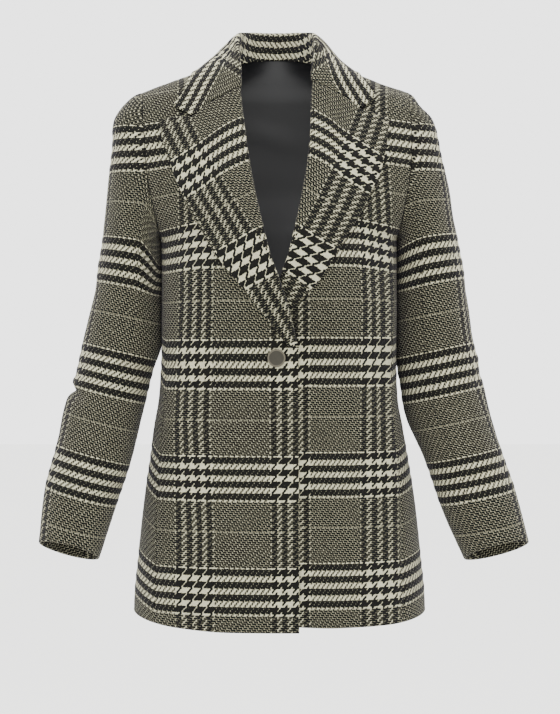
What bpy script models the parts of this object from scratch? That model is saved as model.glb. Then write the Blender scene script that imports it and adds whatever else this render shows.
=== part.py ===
"""Tweed hacking jacket, hollow, in the form that it takes when worn.

Metres, +Z up. The wearer faces -Y, and the wearer's left is +X. The origin is between the
shoulders, level with the collar seam. Sizes and tables below are in millimetres and degrees.
"""

import math

import bmesh
import bpy
import numpy as np
from mathutils import Vector

MM = 0.001

# The cloth and how it is put together.
CLOTH = 3.0
SEAM_GAP = 0.3
PANEL_COLUMNS = 12
BACK_COLUMNS = 20
SIDE_COLUMNS = 5
LOWER_ROWS = 15
UPPER_ROWS = 9

# Horizontal rings of the jacket's form. Above the armhole's foot the width runs on past the
# armhole, and above its top the side of the ring is the shoulder seam.
RING_COLUMNS = ("height", "half_width", "front_depth", "back_depth", "lean", "squareness")
RINGS = (
    (42, 54, 46, 66, -4.5, 2.0),
    (25, 70, 50, 70, -4.5, 2.0),
    (12, 102, 53.5, 73, -4.5, 2.0),
    (0, 136, 56.5, 76, -4.5, 2.0),
    (-18, 190, 60, 80, -4.5, 2.0),
    (-30, 224, 63.5, 84, -4.3, 2.0),
    (-50, 247, 70, 90, -3.6, 2.0),
    (-80, 252, 82, 97.5, -2.4, 2.0),
    (-120, 238, 97, 104, -1.2, 2.0),
    (-160, 214, 110, 107.5, -1.0, 2.05),
    (-190, 193, 118, 107, -0.6, 2.1),
    (-210, 176, 121.5, 106, -0.5, 2.15),
    (-225, 165, 123.5, 105.5, -0.5, 2.2),
    (-250, 164.3, 126, 104, -0.3, 2.3),
    (-300, 164.2, 125, 97, -0.3, 2.4),
    (-360, 164.3, 117.5, 88, -0.5, 2.4),
    (-400, 165.3, 112.5, 83.5, -1.2, 2.4),
    (-443, 167.5, 110, 82.5, -1.7, 2.4),
    (-487, 174, 110.5, 88, -1.6, 2.4),
    (-521, 179, 112, 95, -0.8, 2.4),
    (-566, 186, 114.5, 104, -0.3, 2.4),
    (-622, 193, 118, 112.5, 0.0, 2.4),
    (-667, 197.5, 121, 116, 0.0, 2.4),
    (-711, 202, 123.5, 118.5, 0.0, 2.4),
    (-770, 204.5, 125.5, 120, 0.0, 2.4),
)

NECK_POINT = 25.0
NECK_BACK = 42.0
SHOULDER_END = -18.0
ARMHOLE_FOOT = -225.0
ARMHOLE_COLUMNS = ("height", "distance")
ARMHOLE = (
    (-18, 190),
    (-40, 187.5),
    (-70, 184.5),
    (-120, 182),
    (-155, 177.5),
    (-190, 170.5),
    (-210, 167),
    (-225, 165),
)
SEAM_AT_ARMHOLE = 145.0
# Half a seam's gap as an angle, at the body's least reach from its middle.
BODY_REACH = 90.0
SEAM_TRIM = math.degrees(SEAM_GAP / 2 / BODY_REACH)

# How far the front edge lies from the middle, on its own side: negative is past the middle.
EDGE_COLUMNS = ("height", "distance")
FRONT_EDGE = (
    (-770, -26.5),
    (-378, -26.5),
    (-372, -20.7),
    (-349, -14.5),
    (-312, -4.8),
    (-284, 4.6),
    (-256, 15),
    (-215, 25.3),
    (-173, 34.7),
    (-121, 44),
    (-64, 50.2),
    (-20, 53.5),
    (-6, 55),
    (4, 56.5),
    (12, 59),
    (19, 63),
    (25, 70),
)
BREAK = -378.0
ROLL_START = -372.0
ROWS_TO_BREAK = 9
# Heights of the rows on the front's edge beside the armhole, closer where the neck turns.
EDGE_ROWS = (-212.0, -175.0, -135.0, -90.0, -52.0, -24.0, -5.0, 8.0, 18.0, NECK_POINT)

# The left front sinks to pass under the right one: depth by height, all of it as far from the
# middle as the lap's fade starts, and none where the fade ends.
LAP_HEIGHTS = (-770, -400, -376, -290, -255, -220)
LAP_DEPTHS = (5.0, 5.0, 9.0, 9.0, 3.0, 0.0)
LAP_FADE_START = 35.0
LAP_FADE_END = 80.0

# Outer edge of each turned lapel, from the break up to its corner.
LAPEL_COLUMNS = ("height", "right", "left")
LAPEL_EDGE = (
    (-376, -14, -15),
    (-361, -2, -7),
    (-339, 14.5, 8),
    (-320, 30, 21.5),
    (-303, 43, 37.5),
    (-289, 54, 51.5),
    (-268, 71.5, 64.5),
    (-243, 90, 79),
    (-215, 104.5, 96),
    (-185, 121.8, 114),
    (-158, 134, 127),
    (-140, 141.5, 136.5),
    (-120, 147.5, 142),
    (-100, 155, 147),
    (-82, 158.5, 149.5),
    (-65, 160.5, 152),
    (-62, 160.5, 152),
)
# Gorge seam from the roll line to the notch, then the lapel's top edge to its corner.
TOP_COLUMNS = ("step", "right_distance", "right_height", "left_distance", "left_height")
LAPEL_TOP = (
    (0.0, 53.5, -21, 53.5, -12.5),
    (0.22, 73.5, -33.5, 74, -25),
    (0.43, 95.5, -44.5, 95.5, -36),
    (0.6, 113.5, -61.5, 112.5, -50.5),
    (0.8, 137, -60.5, 133, -56),
    (1.0, 160.5, -65, 152, -62),
)
# The collar's end: the same gorge seam, then its end edge to the collar's corner.
COLLAR_END = (
    (0.0, 53.5, -21, 53.5, -12.5),
    (0.25, 73.5, -33.5, 74, -25),
    (0.5, 95.5, -44.5, 95.5, -36),
    (0.74, 113.5, -61.5, 112.5, -50.5),
    (0.87, 127, -54.5, 123, -43.5),
    (1.0, 142, -44.7, 136, -32.4),
)
GORGE_GAP = 1.0
# Section of the lapel's roll: across the roll line (negative is past it) and off the front.
ROLL_SECTION = ((-4.0, -1.5), (-5.0, 1.0), (-3.6, 4.2))
LAPEL_LIFT_COLUMNS = ("across", "lift")
LAPEL_LIFT = ((0.0, 5.6), (0.2, 7.0), (0.6, 6.0), (1.0, 4.4))
LAPEL_ROWS = 15
LAPEL_ACROSS = 7
LAPEL_MIDDLE = (4, 4)
# The left lapel is pressed flatter where the right front covers it.
LAP_COVER = 18.0
LAP_FADE = 10.0
LAP_PRESS = 0.25

# The collar from its middle at the back to its front end: foot of the stand, middle of the
# fold, radius of the fold, way that the fall faces, and outer edge.
COLLAR_COLUMNS = (
    "station",
    "foot_x",
    "foot_y",
    "foot_z",
    "fold_x",
    "fold_y",
    "fold_z",
    "fold_radius",
    "face_x",
    "face_y",
    "face_z",
    "edge_x",
    "edge_y",
    "edge_z",
)
COLLAR = (
    (0, 0, 58.5, 36, 0, 64, 73, 3.8, 0, 1, 0, 0, 77, 30),
    (1, 28.5, 48.5, 33, 32, 53, 72, 3.8, 0.5, 0.86, 0, 40, 67, 27),
    (2, 50, 29.5, 27, 50, 27, 67, 3.8, 0.87, 0.5, 0, 80, 43, 20),
    (3, 62.5, 0, 20, 55.5, -2, 58, 3.8, 1, 0, 0.1, 111, 2, 13),
    (4, 58, -29, 14, 55.6, -29, 33, 4.2, 0.95, -0.3, 0.15, 121, -38, -2),
)
COLLAR_STEPS = 2
FOLD_TURNS = (180, 125, 75, 30)
FALL_COLUMNS = 6
# The fall leaves the fold partly towards its edge and partly the way that it faces.
FALL_PULL_DOWN = 0.7
FALL_PULL_OUT = 0.3
FALL_PULL_AT_EDGE = 0.9
# It lies at least this far off the body's face, and is moved there in a few short steps.
FALL_CLEARANCE = 3.9
LONGEST_STEP = 6.0
CLEARING_STEPS = 4
# Over this many stations it bends into its end's outline.
END_BLEND = 1.5

# Where the collar's last two sections wrap the front's edge: station, height of that edge on
# each side, how far the fold stands over the edge, and outer edge of the fall between them.
WRAP_COLUMNS = ("station", "right_height", "left_height", "rise", "edge_x", "edge_y", "edge_z")
WRAPS = (
    (5, 3, 3, 3.5, 131, -53, -20),
    (6, -18.3, -10.3, 0.5, 0, 0, 0),
)
WRAP_RADIUS = 5.2
WRAP_FOOT = 4.0

# Where the back's neck meets its shoulder seams, as a share of its half width, and how much its
# rows rise towards the middle at the armhole.
NECK_SHARE = 0.4
BACK_RISE = 4.0

# Angles of the side panel's two seams, from the side of the body.
SIDE_SEAM_COLUMNS = ("height", "front_angle", "back_angle")
SIDE_SEAMS = (
    (-300, 16.5, 16),
    (-370, 17.8, 17),
    (-480, 19.1, 19),
    (-575, 21.4, 21),
    (-700, 25.1, 24),
    (-770, 26, 25),
)

HEM_COLUMNS = ("angle", "right", "left")
HEM = (
    (-90, -748, -748),
    (-35, -748, -748),
    (0, -740, -740),
    (35, -753, -750),
    (60, -757, -751),
    (90, -757, -748),
    (105, -757, -746),
)

# Sleeves below the armhole: inner and outer distance from the middle, for each arm.
SLEEVE_COLUMNS = (
    "height",
    "right_inner",
    "right_outer",
    "left_inner",
    "left_outer",
    "centre_y",
    "half_depth",
)
SLEEVE = (
    (-262, 166.8, 254, 166.5, 257, 2, 63),
    (-310, 166.5, 262, 166.2, 264, 5, 61),
    (-362, 167.5, 274, 166.5, 270.5, 7, 58),
    (-409, 179, 284, 168.5, 281.5, 5, 55),
    (-454, 190, 296, 174, 291, -3, 53.5),
    (-520, 205, 309.5, 201, 306.5, -24, 50.5),
    (-585, 225.5, 323.5, 223, 325, -46, 46),
    (-652, 246, 328, 252, 340, -69, 41),
)
CUFF_SLOPE_OUT = 0.24
CUFF_SLOPE_FORWARD = 0.31
# The cap leaves the armhole dipping by an angle and pulled by a length that both go from the
# armhole's foot (0) to its top (1), and comes into the arm pulled straight down.
CAP_PLACES = (0, 0.5, 1)
CAP_DIPS = (38, 46, 14)
CAP_PULL_AT_FOOT = 18.0
CAP_PULL_GROWTH = 132.0
CAP_FORWARD = -0.25
ARM_PULL_AT_FOOT = 40.0
ARM_PULL_GROWTH = 240.0
ARM_PULL_OUT = 0.2
GROWTH_POWER = 1.2
# The cap's wall turns into the body's wall between these places.
SHOULDER_START = 0.5
SHOULDER_SPAN = 0.3
CAP_ROWS = 8
ARM_ROWS = 13
UNDER_SLEEVE_STEPS = 2

SIDES = {"right": -1, "left": 1}

COLLECTION_NAME = "hacking_jacket"
TWEED_GREY = (0.16, 0.16, 0.145)
BUTTON_OLIVE = (0.10, 0.10, 0.08)


def column(table, names, name):
    """One named column of a table, in rising order of the table's first column."""
    rows = sorted(table)
    return np.array([row[names.index(name)] for row in rows], dtype=float)


def smooth_between(knots, values, wanted):
    """Values on a curve through the knots that never swings past them."""
    wanted = np.clip(wanted, knots[0], knots[-1])
    steps = np.diff(knots)
    rises = np.diff(values) / steps
    slopes = np.zeros_like(values)
    same_way = rises[:-1] * rises[1:] > 0
    left_weight = 2 * steps[1:] + steps[:-1]
    right_weight = steps[1:] + 2 * steps[:-1]
    with np.errstate(divide="ignore", invalid="ignore"):
        mean = (left_weight + right_weight) / (left_weight / rises[:-1] + right_weight / rises[1:])
    slopes[1:-1] = np.where(same_way, mean, 0.0)
    slopes[0] = rises[0]
    slopes[-1] = rises[-1]
    place = np.clip(np.searchsorted(knots, wanted) - 1, 0, len(steps) - 1)
    step = steps[place]
    t = (wanted - knots[place]) / step
    start = (1 + 2 * t) * (1 - t) ** 2 * values[place]
    end = t * t * (3 - 2 * t) * values[place + 1]
    bend = t * (1 - t) ** 2 * slopes[place] - t * t * (1 - t) * slopes[place + 1]
    return start + end + bend * step


def read(table, names, name, wanted):
    """A column's value at a place given in the table's first column."""
    knots = column(table, names, names[0])
    values = column(table, names, name)
    return smooth_between(knots, values, np.asarray(wanted, dtype=float))


def ring(name, height):
    return read(RINGS, RING_COLUMNS, name, height)


def form(side, angle, height):
    """The outer face of the body. Angle 0 is the side, 90 the front and -90 the back."""
    turn = np.radians(angle)
    square = ring("squareness", height)
    across = np.abs(np.cos(turn)) / ring("half_width", height)
    depth = np.where(turn > 0, ring("front_depth", height), ring("back_depth", height))
    along = np.abs(np.sin(turn)) / depth
    radius = (across**square + along**square) ** (-1 / square)
    x = ring("lean", height) + side * radius * np.cos(turn)
    y = -radius * np.sin(turn)
    return np.stack(np.broadcast_arrays(x, y, height), axis=-1)


def form_normal(side, angle, height):
    """Unit normal of the body's outer face, pointing out."""
    step_angle = 0.05
    step_height = 0.2
    around = form(side, angle + step_angle, height) - form(side, angle - step_angle, height)
    up = form(side, angle, height + step_height) - form(side, angle, height - step_height)
    normal = -side * np.cross(around, up)
    return normal / np.linalg.norm(normal, axis=-1, keepdims=True)


def angle_at(distance, height):
    """The angle at which the front of the body is this far from the middle."""
    square = ring("squareness", height)
    share = np.clip(np.abs(distance) / ring("half_width", height), 0, 1)
    depth = ring("front_depth", height) * (1 - share**square) ** (1 / square)
    return np.degrees(np.arctan2(depth, distance))


def armhole(turn):
    """Height, distance, and angles on front and back, at a turn round the armhole from its top."""
    middle = (SHOULDER_END + ARMHOLE_FOOT) / 2
    reach = (SHOULDER_END - ARMHOLE_FOOT) / 2
    height = middle + reach * np.cos(np.radians(turn))
    distance = read(ARMHOLE, ARMHOLE_COLUMNS, "distance", height)
    square = ring("squareness", height)
    share = np.clip(distance / ring("half_width", height), 0, 1)
    spread = (1 - share**square) ** (1 / square)
    front = np.degrees(np.arctan2(ring("front_depth", height) * spread, distance))
    back = np.degrees(np.arctan2(ring("back_depth", height) * spread, distance))
    return height, distance, front, back


def panel_rows():
    """Steps up a panel: evenly to the armhole, then evenly round it."""
    lower = np.linspace(0, 1, LOWER_ROWS + 1)
    upper = np.linspace(1, 2, UPPER_ROWS + 1)[1:]
    return np.concatenate([lower, upper])


def outer_edge(rows, side_name, which):
    """A panel's edge up the side seam and round the armhole, as angles and heights."""
    name = which + "_angle"
    sign = 1 if which == "front" else -1
    seam_top, _, front_top, back_top = armhole(SEAM_AT_ARMHOLE)
    seams = tuple(SIDE_SEAMS) + ((float(seam_top), float(front_top), float(back_top)),)
    hem = float(read(HEM, HEM_COLUMNS, side_name, sign * 25))
    angles = []
    heights = []
    for step in rows:
        if step <= 1:
            height = hem + (seam_top - hem) * step
            angle = read(seams, SIDE_SEAM_COLUMNS, name, height)
        else:
            height, _, front, back = armhole(SEAM_AT_ARMHOLE * (2 - step))
            angle = front if which == "front" else back
        angles.append(float(angle))
        heights.append(float(height))
    return sign * np.array(angles), np.array(heights)


def blend_panel(start, end, bottom_bend, top_bend, columns, rows):
    """Angles and heights across a panel between its two upright edges.

    The bends say how far the bottom and top edges leave the straight line between the two.
    """
    across = np.linspace(0, 1, columns + 1)
    share_up = rows / rows[-1]
    angle = np.outer(1 - across, start[0]) + np.outer(across, end[0])
    height = np.outer(1 - across, start[1]) + np.outer(across, end[1])
    low = (1 - share_up) ** 3
    high = share_up**6
    bottom_angle, bottom_height = bottom_bend(across)
    top_angle, top_height = top_bend(across)
    angle = angle + np.outer(bottom_angle, low) + np.outer(top_angle, high)
    height = height + np.outer(bottom_height, low) + np.outer(top_height, high)
    return angle, height


def straight(across):
    return np.zeros_like(across), np.zeros_like(across)


def hem_bend(side_name, start_angle, end_angle):
    """How the hem leaves the straight line between a panel's two lower corners."""

    def bend(across):
        angles = start_angle + (end_angle - start_angle) * across
        heights = read(HEM, HEM_COLUMNS, side_name, angles)
        line = heights[0] + (heights[-1] - heights[0]) * across
        return np.zeros_like(across), heights - line

    return bend


def front_panel(side_name):
    """Angles and heights of a front, from its edge to the side seam and armhole."""
    rows = panel_rows()
    end_angles, end_heights = outer_edge(rows, side_name, "front")
    end_angles = end_angles + SEAM_TRIM
    hem = float(read(HEM, HEM_COLUMNS, side_name, 100))
    to_break = np.linspace(hem, BREAK, ROWS_TO_BREAK + 1)
    over_break = np.linspace(ROLL_START, EDGE_ROWS[0], LOWER_ROWS - ROWS_TO_BREAK)
    start_heights = np.concatenate([to_break, over_break, EDGE_ROWS[1:]])
    distance = read(FRONT_EDGE, EDGE_COLUMNS, "distance", start_heights)
    start_angles = angle_at(distance, start_heights)
    start_angles = np.maximum(start_angles, end_angles[-1])
    bend = hem_bend(side_name, start_angles[0], end_angles[0])
    start = (start_angles, start_heights)
    end = (end_angles, end_heights)
    return blend_panel(start, end, bend, straight, PANEL_COLUMNS, rows)


def side_panel(side_name):
    """Angles and heights of a side panel, from its front seam to its back seam."""
    rows = panel_rows()
    rows = rows[: LOWER_ROWS + 1]
    front_angles, front_heights = outer_edge(rows, side_name, "front")
    back_angles, back_heights = outer_edge(rows, side_name, "back")
    front_angles = front_angles - SEAM_TRIM
    back_angles = back_angles + SEAM_TRIM

    def armhole_bend(across):
        turn = SEAM_AT_ARMHOLE + (360 - 2 * SEAM_AT_ARMHOLE) * across
        height, _, front, back = armhole(turn)
        angle = np.where(turn <= 180, front, -back)
        line = front_angles[-1] + (back_angles[-1] - front_angles[-1]) * across
        ends = height[0] + (height[-1] - height[0]) * across
        inside = np.sin(math.pi * across) > 1e-6
        return np.where(inside, angle - line, 0.0), height - ends

    bend = hem_bend(side_name, front_angles[0], back_angles[0])
    start = (front_angles, front_heights)
    end = (back_angles, back_heights)
    return blend_panel(start, end, bend, armhole_bend, SIDE_COLUMNS, rows)


def back_half(side_name):
    """Angles and heights of half the back, from its middle to the side seam and armhole."""
    rows = panel_rows()
    end_angles, end_heights = outer_edge(rows, side_name, "back")
    end_angles = end_angles - SEAM_TRIM
    hem = float(read(HEM, HEM_COLUMNS, side_name, -90))
    upper = (end_heights - end_heights[LOWER_ROWS]) / (SHOULDER_END - end_heights[LOWER_ROWS])
    level = end_heights[LOWER_ROWS] + BACK_RISE
    start_heights = np.where(
        rows <= 1, hem + (level - hem) * rows, level + (NECK_BACK - level) * upper
    )
    start_angles = np.full_like(start_heights, -90.0)

    def neck_bend(across):
        on_neck = np.clip(across / NECK_SHARE, 0, 1)
        on_shoulder = np.clip((across - NECK_SHARE) / (1 - NECK_SHARE), 0, 1)
        angle = -90 + (90 + end_angles[-1]) * on_neck
        height = NECK_BACK + (NECK_POINT - NECK_BACK) * on_neck
        height = height + (SHOULDER_END - NECK_POINT) * on_shoulder
        line = -90 + (90 + end_angles[-1]) * across
        level_line = NECK_BACK + (SHOULDER_END - NECK_BACK) * across
        return angle - line, height - level_line

    bend = hem_bend(side_name, -90, end_angles[0])
    start = (start_angles, start_heights)
    end = (end_angles, end_heights)
    return blend_panel(start, end, bend, neck_bend, BACK_COLUMNS // 2, rows)


def add_wall(name, outer, inner, colour, roughness=0.9, metallic=0.0):
    """A closed wall between two grids of points that have the same rows and columns."""
    rows, columns = outer.shape[:2]
    shell = bmesh.new()
    faces = []
    corners = []
    for grid in (outer, inner):
        corners.append([[shell.verts.new(point * MM) for point in line] for line in grid])
    top, under = corners
    for r in range(rows - 1):
        for c in range(columns - 1):
            faces.append((top[r][c], top[r][c + 1], top[r + 1][c + 1], top[r + 1][c]))
            faces.append((under[r][c], under[r + 1][c], under[r + 1][c + 1], under[r][c + 1]))
    for c in range(columns - 1):
        faces.append((top[0][c], under[0][c], under[0][c + 1], top[0][c + 1]))
        faces.append((top[-1][c], top[-1][c + 1], under[-1][c + 1], under[-1][c]))
    for r in range(rows - 1):
        faces.append((top[r][0], top[r + 1][0], under[r + 1][0], under[r][0]))
        faces.append((top[r][-1], under[r][-1], under[r + 1][-1], top[r + 1][-1]))
    for face in faces:
        shell.faces.new(face)
    bmesh.ops.recalc_face_normals(shell, faces=shell.faces)
    if shell.calc_volume(signed=True) < 0:
        bmesh.ops.reverse_faces(shell, faces=shell.faces)
    mesh = bpy.data.meshes.new(name)
    shell.to_mesh(mesh)
    shell.free()
    mesh.shade_smooth()
    mesh.set_sharp_from_angle(angle=math.radians(50))
    return add_object(name, mesh, colour, roughness, metallic)


def add_object(name, mesh, colour, roughness, metallic):
    material = bpy.data.materials.new(name)
    material.use_nodes = True
    shader = material.node_tree.nodes["Principled BSDF"]
    shader.inputs["Base Color"].default_value = (*colour, 1)
    shader.inputs["Roughness"].default_value = roughness
    shader.inputs["Metallic"].default_value = metallic
    mesh.materials.append(material)
    piece = bpy.data.objects.new(name, mesh)
    bpy.data.collections[COLLECTION_NAME].objects.link(piece)
    return piece


def grid_normals(points):
    """Unit normals of a grid of points, from its neighbours along rows and columns."""
    down = np.gradient(points, axis=0)
    across = np.gradient(points, axis=1)
    normal = np.cross(down, across)
    return normal / np.linalg.norm(normal, axis=-1, keepdims=True)


def lap_depth(distance, height):
    """How far the left front sinks to pass under the right one."""
    depth = np.interp(height, LAP_HEIGHTS, LAP_DEPTHS)
    share = np.clip((LAP_FADE_END - distance) / (LAP_FADE_END - LAP_FADE_START), 0, 1)
    return depth * share * share * (3 - 2 * share)


def body_wall(name, side, angle, height, sink=None):
    outer = form(side, angle, height)
    normal = form_normal(side, angle, height)
    if sink is not None:
        distance = side * (outer[..., 0] - ring("lean", height))
        outer = outer - normal * sink(distance, height)[..., None]
    add_wall(name, outer, outer - normal * CLOTH, TWEED_GREY)


def make_body():
    for side_name, side in SIDES.items():
        sink = lap_depth if side_name == "left" else None
        angle, height = front_panel(side_name)
        body_wall("front_" + side_name, side, angle, height, sink)
        angle, height = side_panel(side_name)
        body_wall("side_" + side_name, side, angle, height)
    halves = []
    for side_name, side in SIDES.items():
        angle, height = back_half(side_name)
        halves.append((form(side, angle, height), form_normal(side, angle, height)))
    (right, right_normal), (left, left_normal) = halves
    outer = np.concatenate([right[::-1], left[1:]])
    normal = np.concatenate([right_normal[::-1], left_normal[1:]])
    add_wall("back", outer, outer - normal * CLOTH, TWEED_GREY)


def hermite(start, start_pull, end, end_pull, t):
    return (
        (1 + 2 * t) * (1 - t) ** 2 * start
        + t * (1 - t) ** 2 * start_pull
        + t * t * (3 - 2 * t) * end
        - t * t * (1 - t) * end_pull
    )


def arm_ring(side_name, turn, height):
    """A ring of the sleeve. Turn 0 is its outer side, 90 its front and 180 its inner side."""
    side = SIDES[side_name]
    inner = read(SLEEVE, SLEEVE_COLUMNS, side_name + "_inner", height)
    outer = read(SLEEVE, SLEEVE_COLUMNS, side_name + "_outer", height)
    centre_y = read(SLEEVE, SLEEVE_COLUMNS, "centre_y", height)
    depth = read(SLEEVE, SLEEVE_COLUMNS, "half_depth", height)
    out = (outer - inner) / 2 * np.cos(np.radians(turn))
    back = -depth * np.sin(np.radians(turn))
    top = SLEEVE[0][0]
    share = (top - height) / (top - SLEEVE[-1][0])
    tilt = share * (CUFF_SLOPE_OUT * out - CUFF_SLOPE_FORWARD * back)
    x = side * ((inner + outer) / 2 + out)
    return np.stack(np.broadcast_arrays(x, centre_y + back, height + tilt), axis=-1)


def sleeve_turns():
    """Turns round the armhole at the columns of the upper and the under sleeve.

    They are those of the body's own points round the armhole, so that both edges run together.
    """
    step = SEAM_AT_ARMHOLE / UPPER_ROWS
    seam = SEAM_AT_ARMHOLE - UNDER_SLEEVE_STEPS * step
    upper = np.arange(-seam, seam + step / 2, step)
    foot = np.linspace(SEAM_AT_ARMHOLE, 360 - SEAM_AT_ARMHOLE, SIDE_COLUMNS + 1)
    before = seam + step * np.arange(UNDER_SLEEVE_STEPS)
    after = foot[-1] + step * np.arange(1, UNDER_SLEEVE_STEPS + 1)
    return upper, np.concatenate([before, foot, after])


def sleeve_grid(side_name):
    """Rings of a whole sleeve, from the armhole to the cuff."""
    side = SIDES[side_name]
    upper, under = sleeve_turns()
    turns = np.concatenate([upper, under[1:]])
    height, distance, front, back = armhole(turns)
    on_front = np.sin(np.radians(turns)) >= 0
    depth = np.where(on_front, -np.tan(np.radians(front)), np.tan(np.radians(back))) * distance
    lean = ring("lean", height)
    start = np.stack([lean + side * (distance + SEAM_GAP), depth, height], axis=-1)
    topness = (1 + np.cos(np.radians(turns))) / 2
    dip = np.radians(np.interp(topness, CAP_PLACES, CAP_DIPS))
    pull = CAP_PULL_AT_FOOT + CAP_PULL_GROWTH * topness**GROWTH_POWER
    forward = CAP_FORWARD * np.sin(np.radians(turns))
    start_pull = np.stack([side * np.cos(dip), forward, -np.sin(dip)], axis=-1) * pull[:, None]
    top = SLEEVE[0][0]
    end = arm_ring(side_name, turns, np.full_like(turns, top))
    hang = ARM_PULL_AT_FOOT + ARM_PULL_GROWTH * topness**GROWTH_POWER
    out = side * ARM_PULL_OUT * topness
    straight_down = np.stack([out, 0 * topness, -1 + 0 * topness], axis=-1)
    end_pull = straight_down * hang[:, None]
    rows = []
    for t in np.linspace(0, 1, CAP_ROWS + 1):
        rows.append(hermite(start, start_pull, end, end_pull, t))
    for level in np.linspace(top, SLEEVE[-1][0], ARM_ROWS + 1)[1:]:
        rows.append(arm_ring(side_name, turns, np.full_like(turns, level)))
    return np.array(rows), turns


def closed_ring_normals(points, side):
    """Normals of a tube whose last column lies on its first."""
    around = np.roll(points[:, :-1], -1, axis=1) - np.roll(points[:, :-1], 1, axis=1)
    around = np.concatenate([around, around[:, :1]], axis=1)
    down = np.gradient(points, axis=0)
    normal = -side * np.cross(down, around)
    return normal / np.linalg.norm(normal, axis=-1, keepdims=True)


def shoulder_normals(side, turns, own):
    """Normals of the sleeve's first ring: the body's at the top, so that the two walls run on."""
    height, _, front, back = armhole(turns)
    angle = np.where(np.sin(np.radians(turns)) >= 0, front, -back)
    body = form_normal(side, angle, height)
    topness = (1 + np.cos(np.radians(turns))) / 2
    share = np.clip((topness - SHOULDER_START) / SHOULDER_SPAN, 0, 1)[:, None]
    mixed = body * share + own * (1 - share)
    return mixed / np.linalg.norm(mixed, axis=-1, keepdims=True)


def make_sleeves():
    for side_name, side in SIDES.items():
        points, turns = sleeve_grid(side_name)
        normal = closed_ring_normals(points, side)
        normal[0] = shoulder_normals(side, turns, normal[0])
        inner = points - normal * CLOTH
        split = len(sleeve_turns()[0]) - 1
        for name, first, last in (("upper", 0, split), ("under", split, len(turns) - 1)):
            outer_part = points[:, first : last + 1].copy()
            inner_part = inner[:, first : last + 1].copy()
            trim_edges(outer_part, SEAM_GAP / 2)
            trim_edges(inner_part, SEAM_GAP / 2)
            add_wall("sleeve_" + name + "_" + side_name, outer_part, inner_part, TWEED_GREY)


def trim_edges(grid, gap):
    """Draws the first and last column of a grid in by a gap."""
    for edge, beside in ((0, 1), (-1, -2)):
        towards = grid[:, beside] - grid[:, edge]
        length = np.linalg.norm(towards, axis=-1, keepdims=True)
        grid[:, edge] += towards / length * gap


def unit(vectors):
    return vectors / np.linalg.norm(vectors, axis=-1, keepdims=True)


def lapel_outline(side_name, across, up):
    """Distance and height over the front at a place on the lapel's flat outline."""
    top_names = TOP_COLUMNS
    start_low, start_high = ROLL_START, LAPEL_TOP[0][top_names.index(side_name + "_height")]
    end_low, end_high = LAPEL_EDGE[0][0], LAPEL_TOP[-1][top_names.index(side_name + "_height")]
    start_height = start_low + (start_high - start_low) * up
    start_distance = read(FRONT_EDGE, EDGE_COLUMNS, "distance", start_height)
    end_height = end_low + (end_high - end_low) * up
    end_distance = read(LAPEL_EDGE, LAPEL_COLUMNS, side_name, end_height)
    knots = column(LAPEL_TOP, top_names, "step")
    tops = []
    for name in ("_distance", "_height"):
        values = column(LAPEL_TOP, top_names, side_name + name)
        bend = np.interp(across, knots, values) - values[0] - (values[-1] - values[0]) * across
        tops.append(bend * up**3)
    distance = start_distance + (end_distance - start_distance) * across + tops[0]
    height = start_height + (end_height - start_height) * across + tops[1]
    return distance, height


def front_face(side_name, distance, height):
    """Point and normal on a front's outer face, which sinks where the left one is lapped."""
    side = SIDES[side_name]
    angle = angle_at(distance, height)
    point = form(side, angle, height)
    normal = form_normal(side, angle, height)
    if side_name == "left":
        point = point - normal * lap_depth(distance, height)[..., None]
    return point, normal


def make_lapel(side_name):
    side = SIDES[side_name]
    up = np.linspace(0, 1, LAPEL_ROWS + 1)[:, None]
    across = np.linspace(0, 1, LAPEL_ACROSS + 1)[None, :]
    distance, height = lapel_outline(side_name, across, up)
    point, normal = front_face(side_name, distance, height)
    lift = read(LAPEL_LIFT, LAPEL_LIFT_COLUMNS, "lift", across) + 0 * up
    pressed = np.ones_like(height)
    if side_name == "left":
        right_edge = -read(FRONT_EDGE, EDGE_COLUMNS, "distance", height)
        covered = np.clip((right_edge + LAP_COVER - distance) / LAP_FADE, 0, 1)
        pressed = 1 - LAP_PRESS * covered
    flat = point + normal * (lift * pressed)[..., None]
    roll_point, roll_normal = point[:, 0], normal[:, 0]
    roll_way = np.gradient(roll_point, axis=0)
    outward = unit(np.cross(roll_way, roll_normal)) * side
    columns = []
    for past, off in ROLL_SECTION:
        offs = off * pressed[:, :1] if off > 1 else off
        columns.append(roll_point + outward * past + roll_normal * offs)
    outer = np.concatenate([np.stack(columns, axis=1), flat], axis=1)
    facing = outward_normals(outer, flat[LAPEL_MIDDLE], normal[LAPEL_MIDDLE])
    inner = outer - facing * CLOTH
    add_wall("lapel_" + side_name, outer, inner, TWEED_GREY)


def outward_normals(grid, spot, way):
    """A grid's normals, all on the side that faces a given way at the point nearest a spot."""
    normals = grid_normals(grid)
    nearest = np.argmin(np.linalg.norm(grid - spot, axis=-1))
    if np.dot(normals.reshape(-1, 3)[nearest], way) < 0:
        normals = -normals
    return normals


def body_distance(points):
    """How far points lie off the body's outer face, and the way straight out, near the face."""

    def reach(p):
        square = ring("squareness", p[..., 2])
        x = np.abs(p[..., 0] - ring("lean", p[..., 2])) / ring("half_width", p[..., 2])
        front = ring("front_depth", p[..., 2])
        depth = np.where(p[..., 1] < 0, front, ring("back_depth", p[..., 2]))
        return (x**square + (np.abs(p[..., 1]) / depth) ** square) ** (1 / square) - 1

    step = 0.05
    slope = []
    for axis in range(3):
        shift = np.zeros(3)
        shift[axis] = step
        slope.append((reach(points + shift) - reach(points - shift)) / (2 * step))
    slope = np.stack(slope, axis=-1)
    steepness = np.linalg.norm(slope, axis=-1, keepdims=True)
    return reach(points) / steepness[..., 0], slope / steepness


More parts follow.
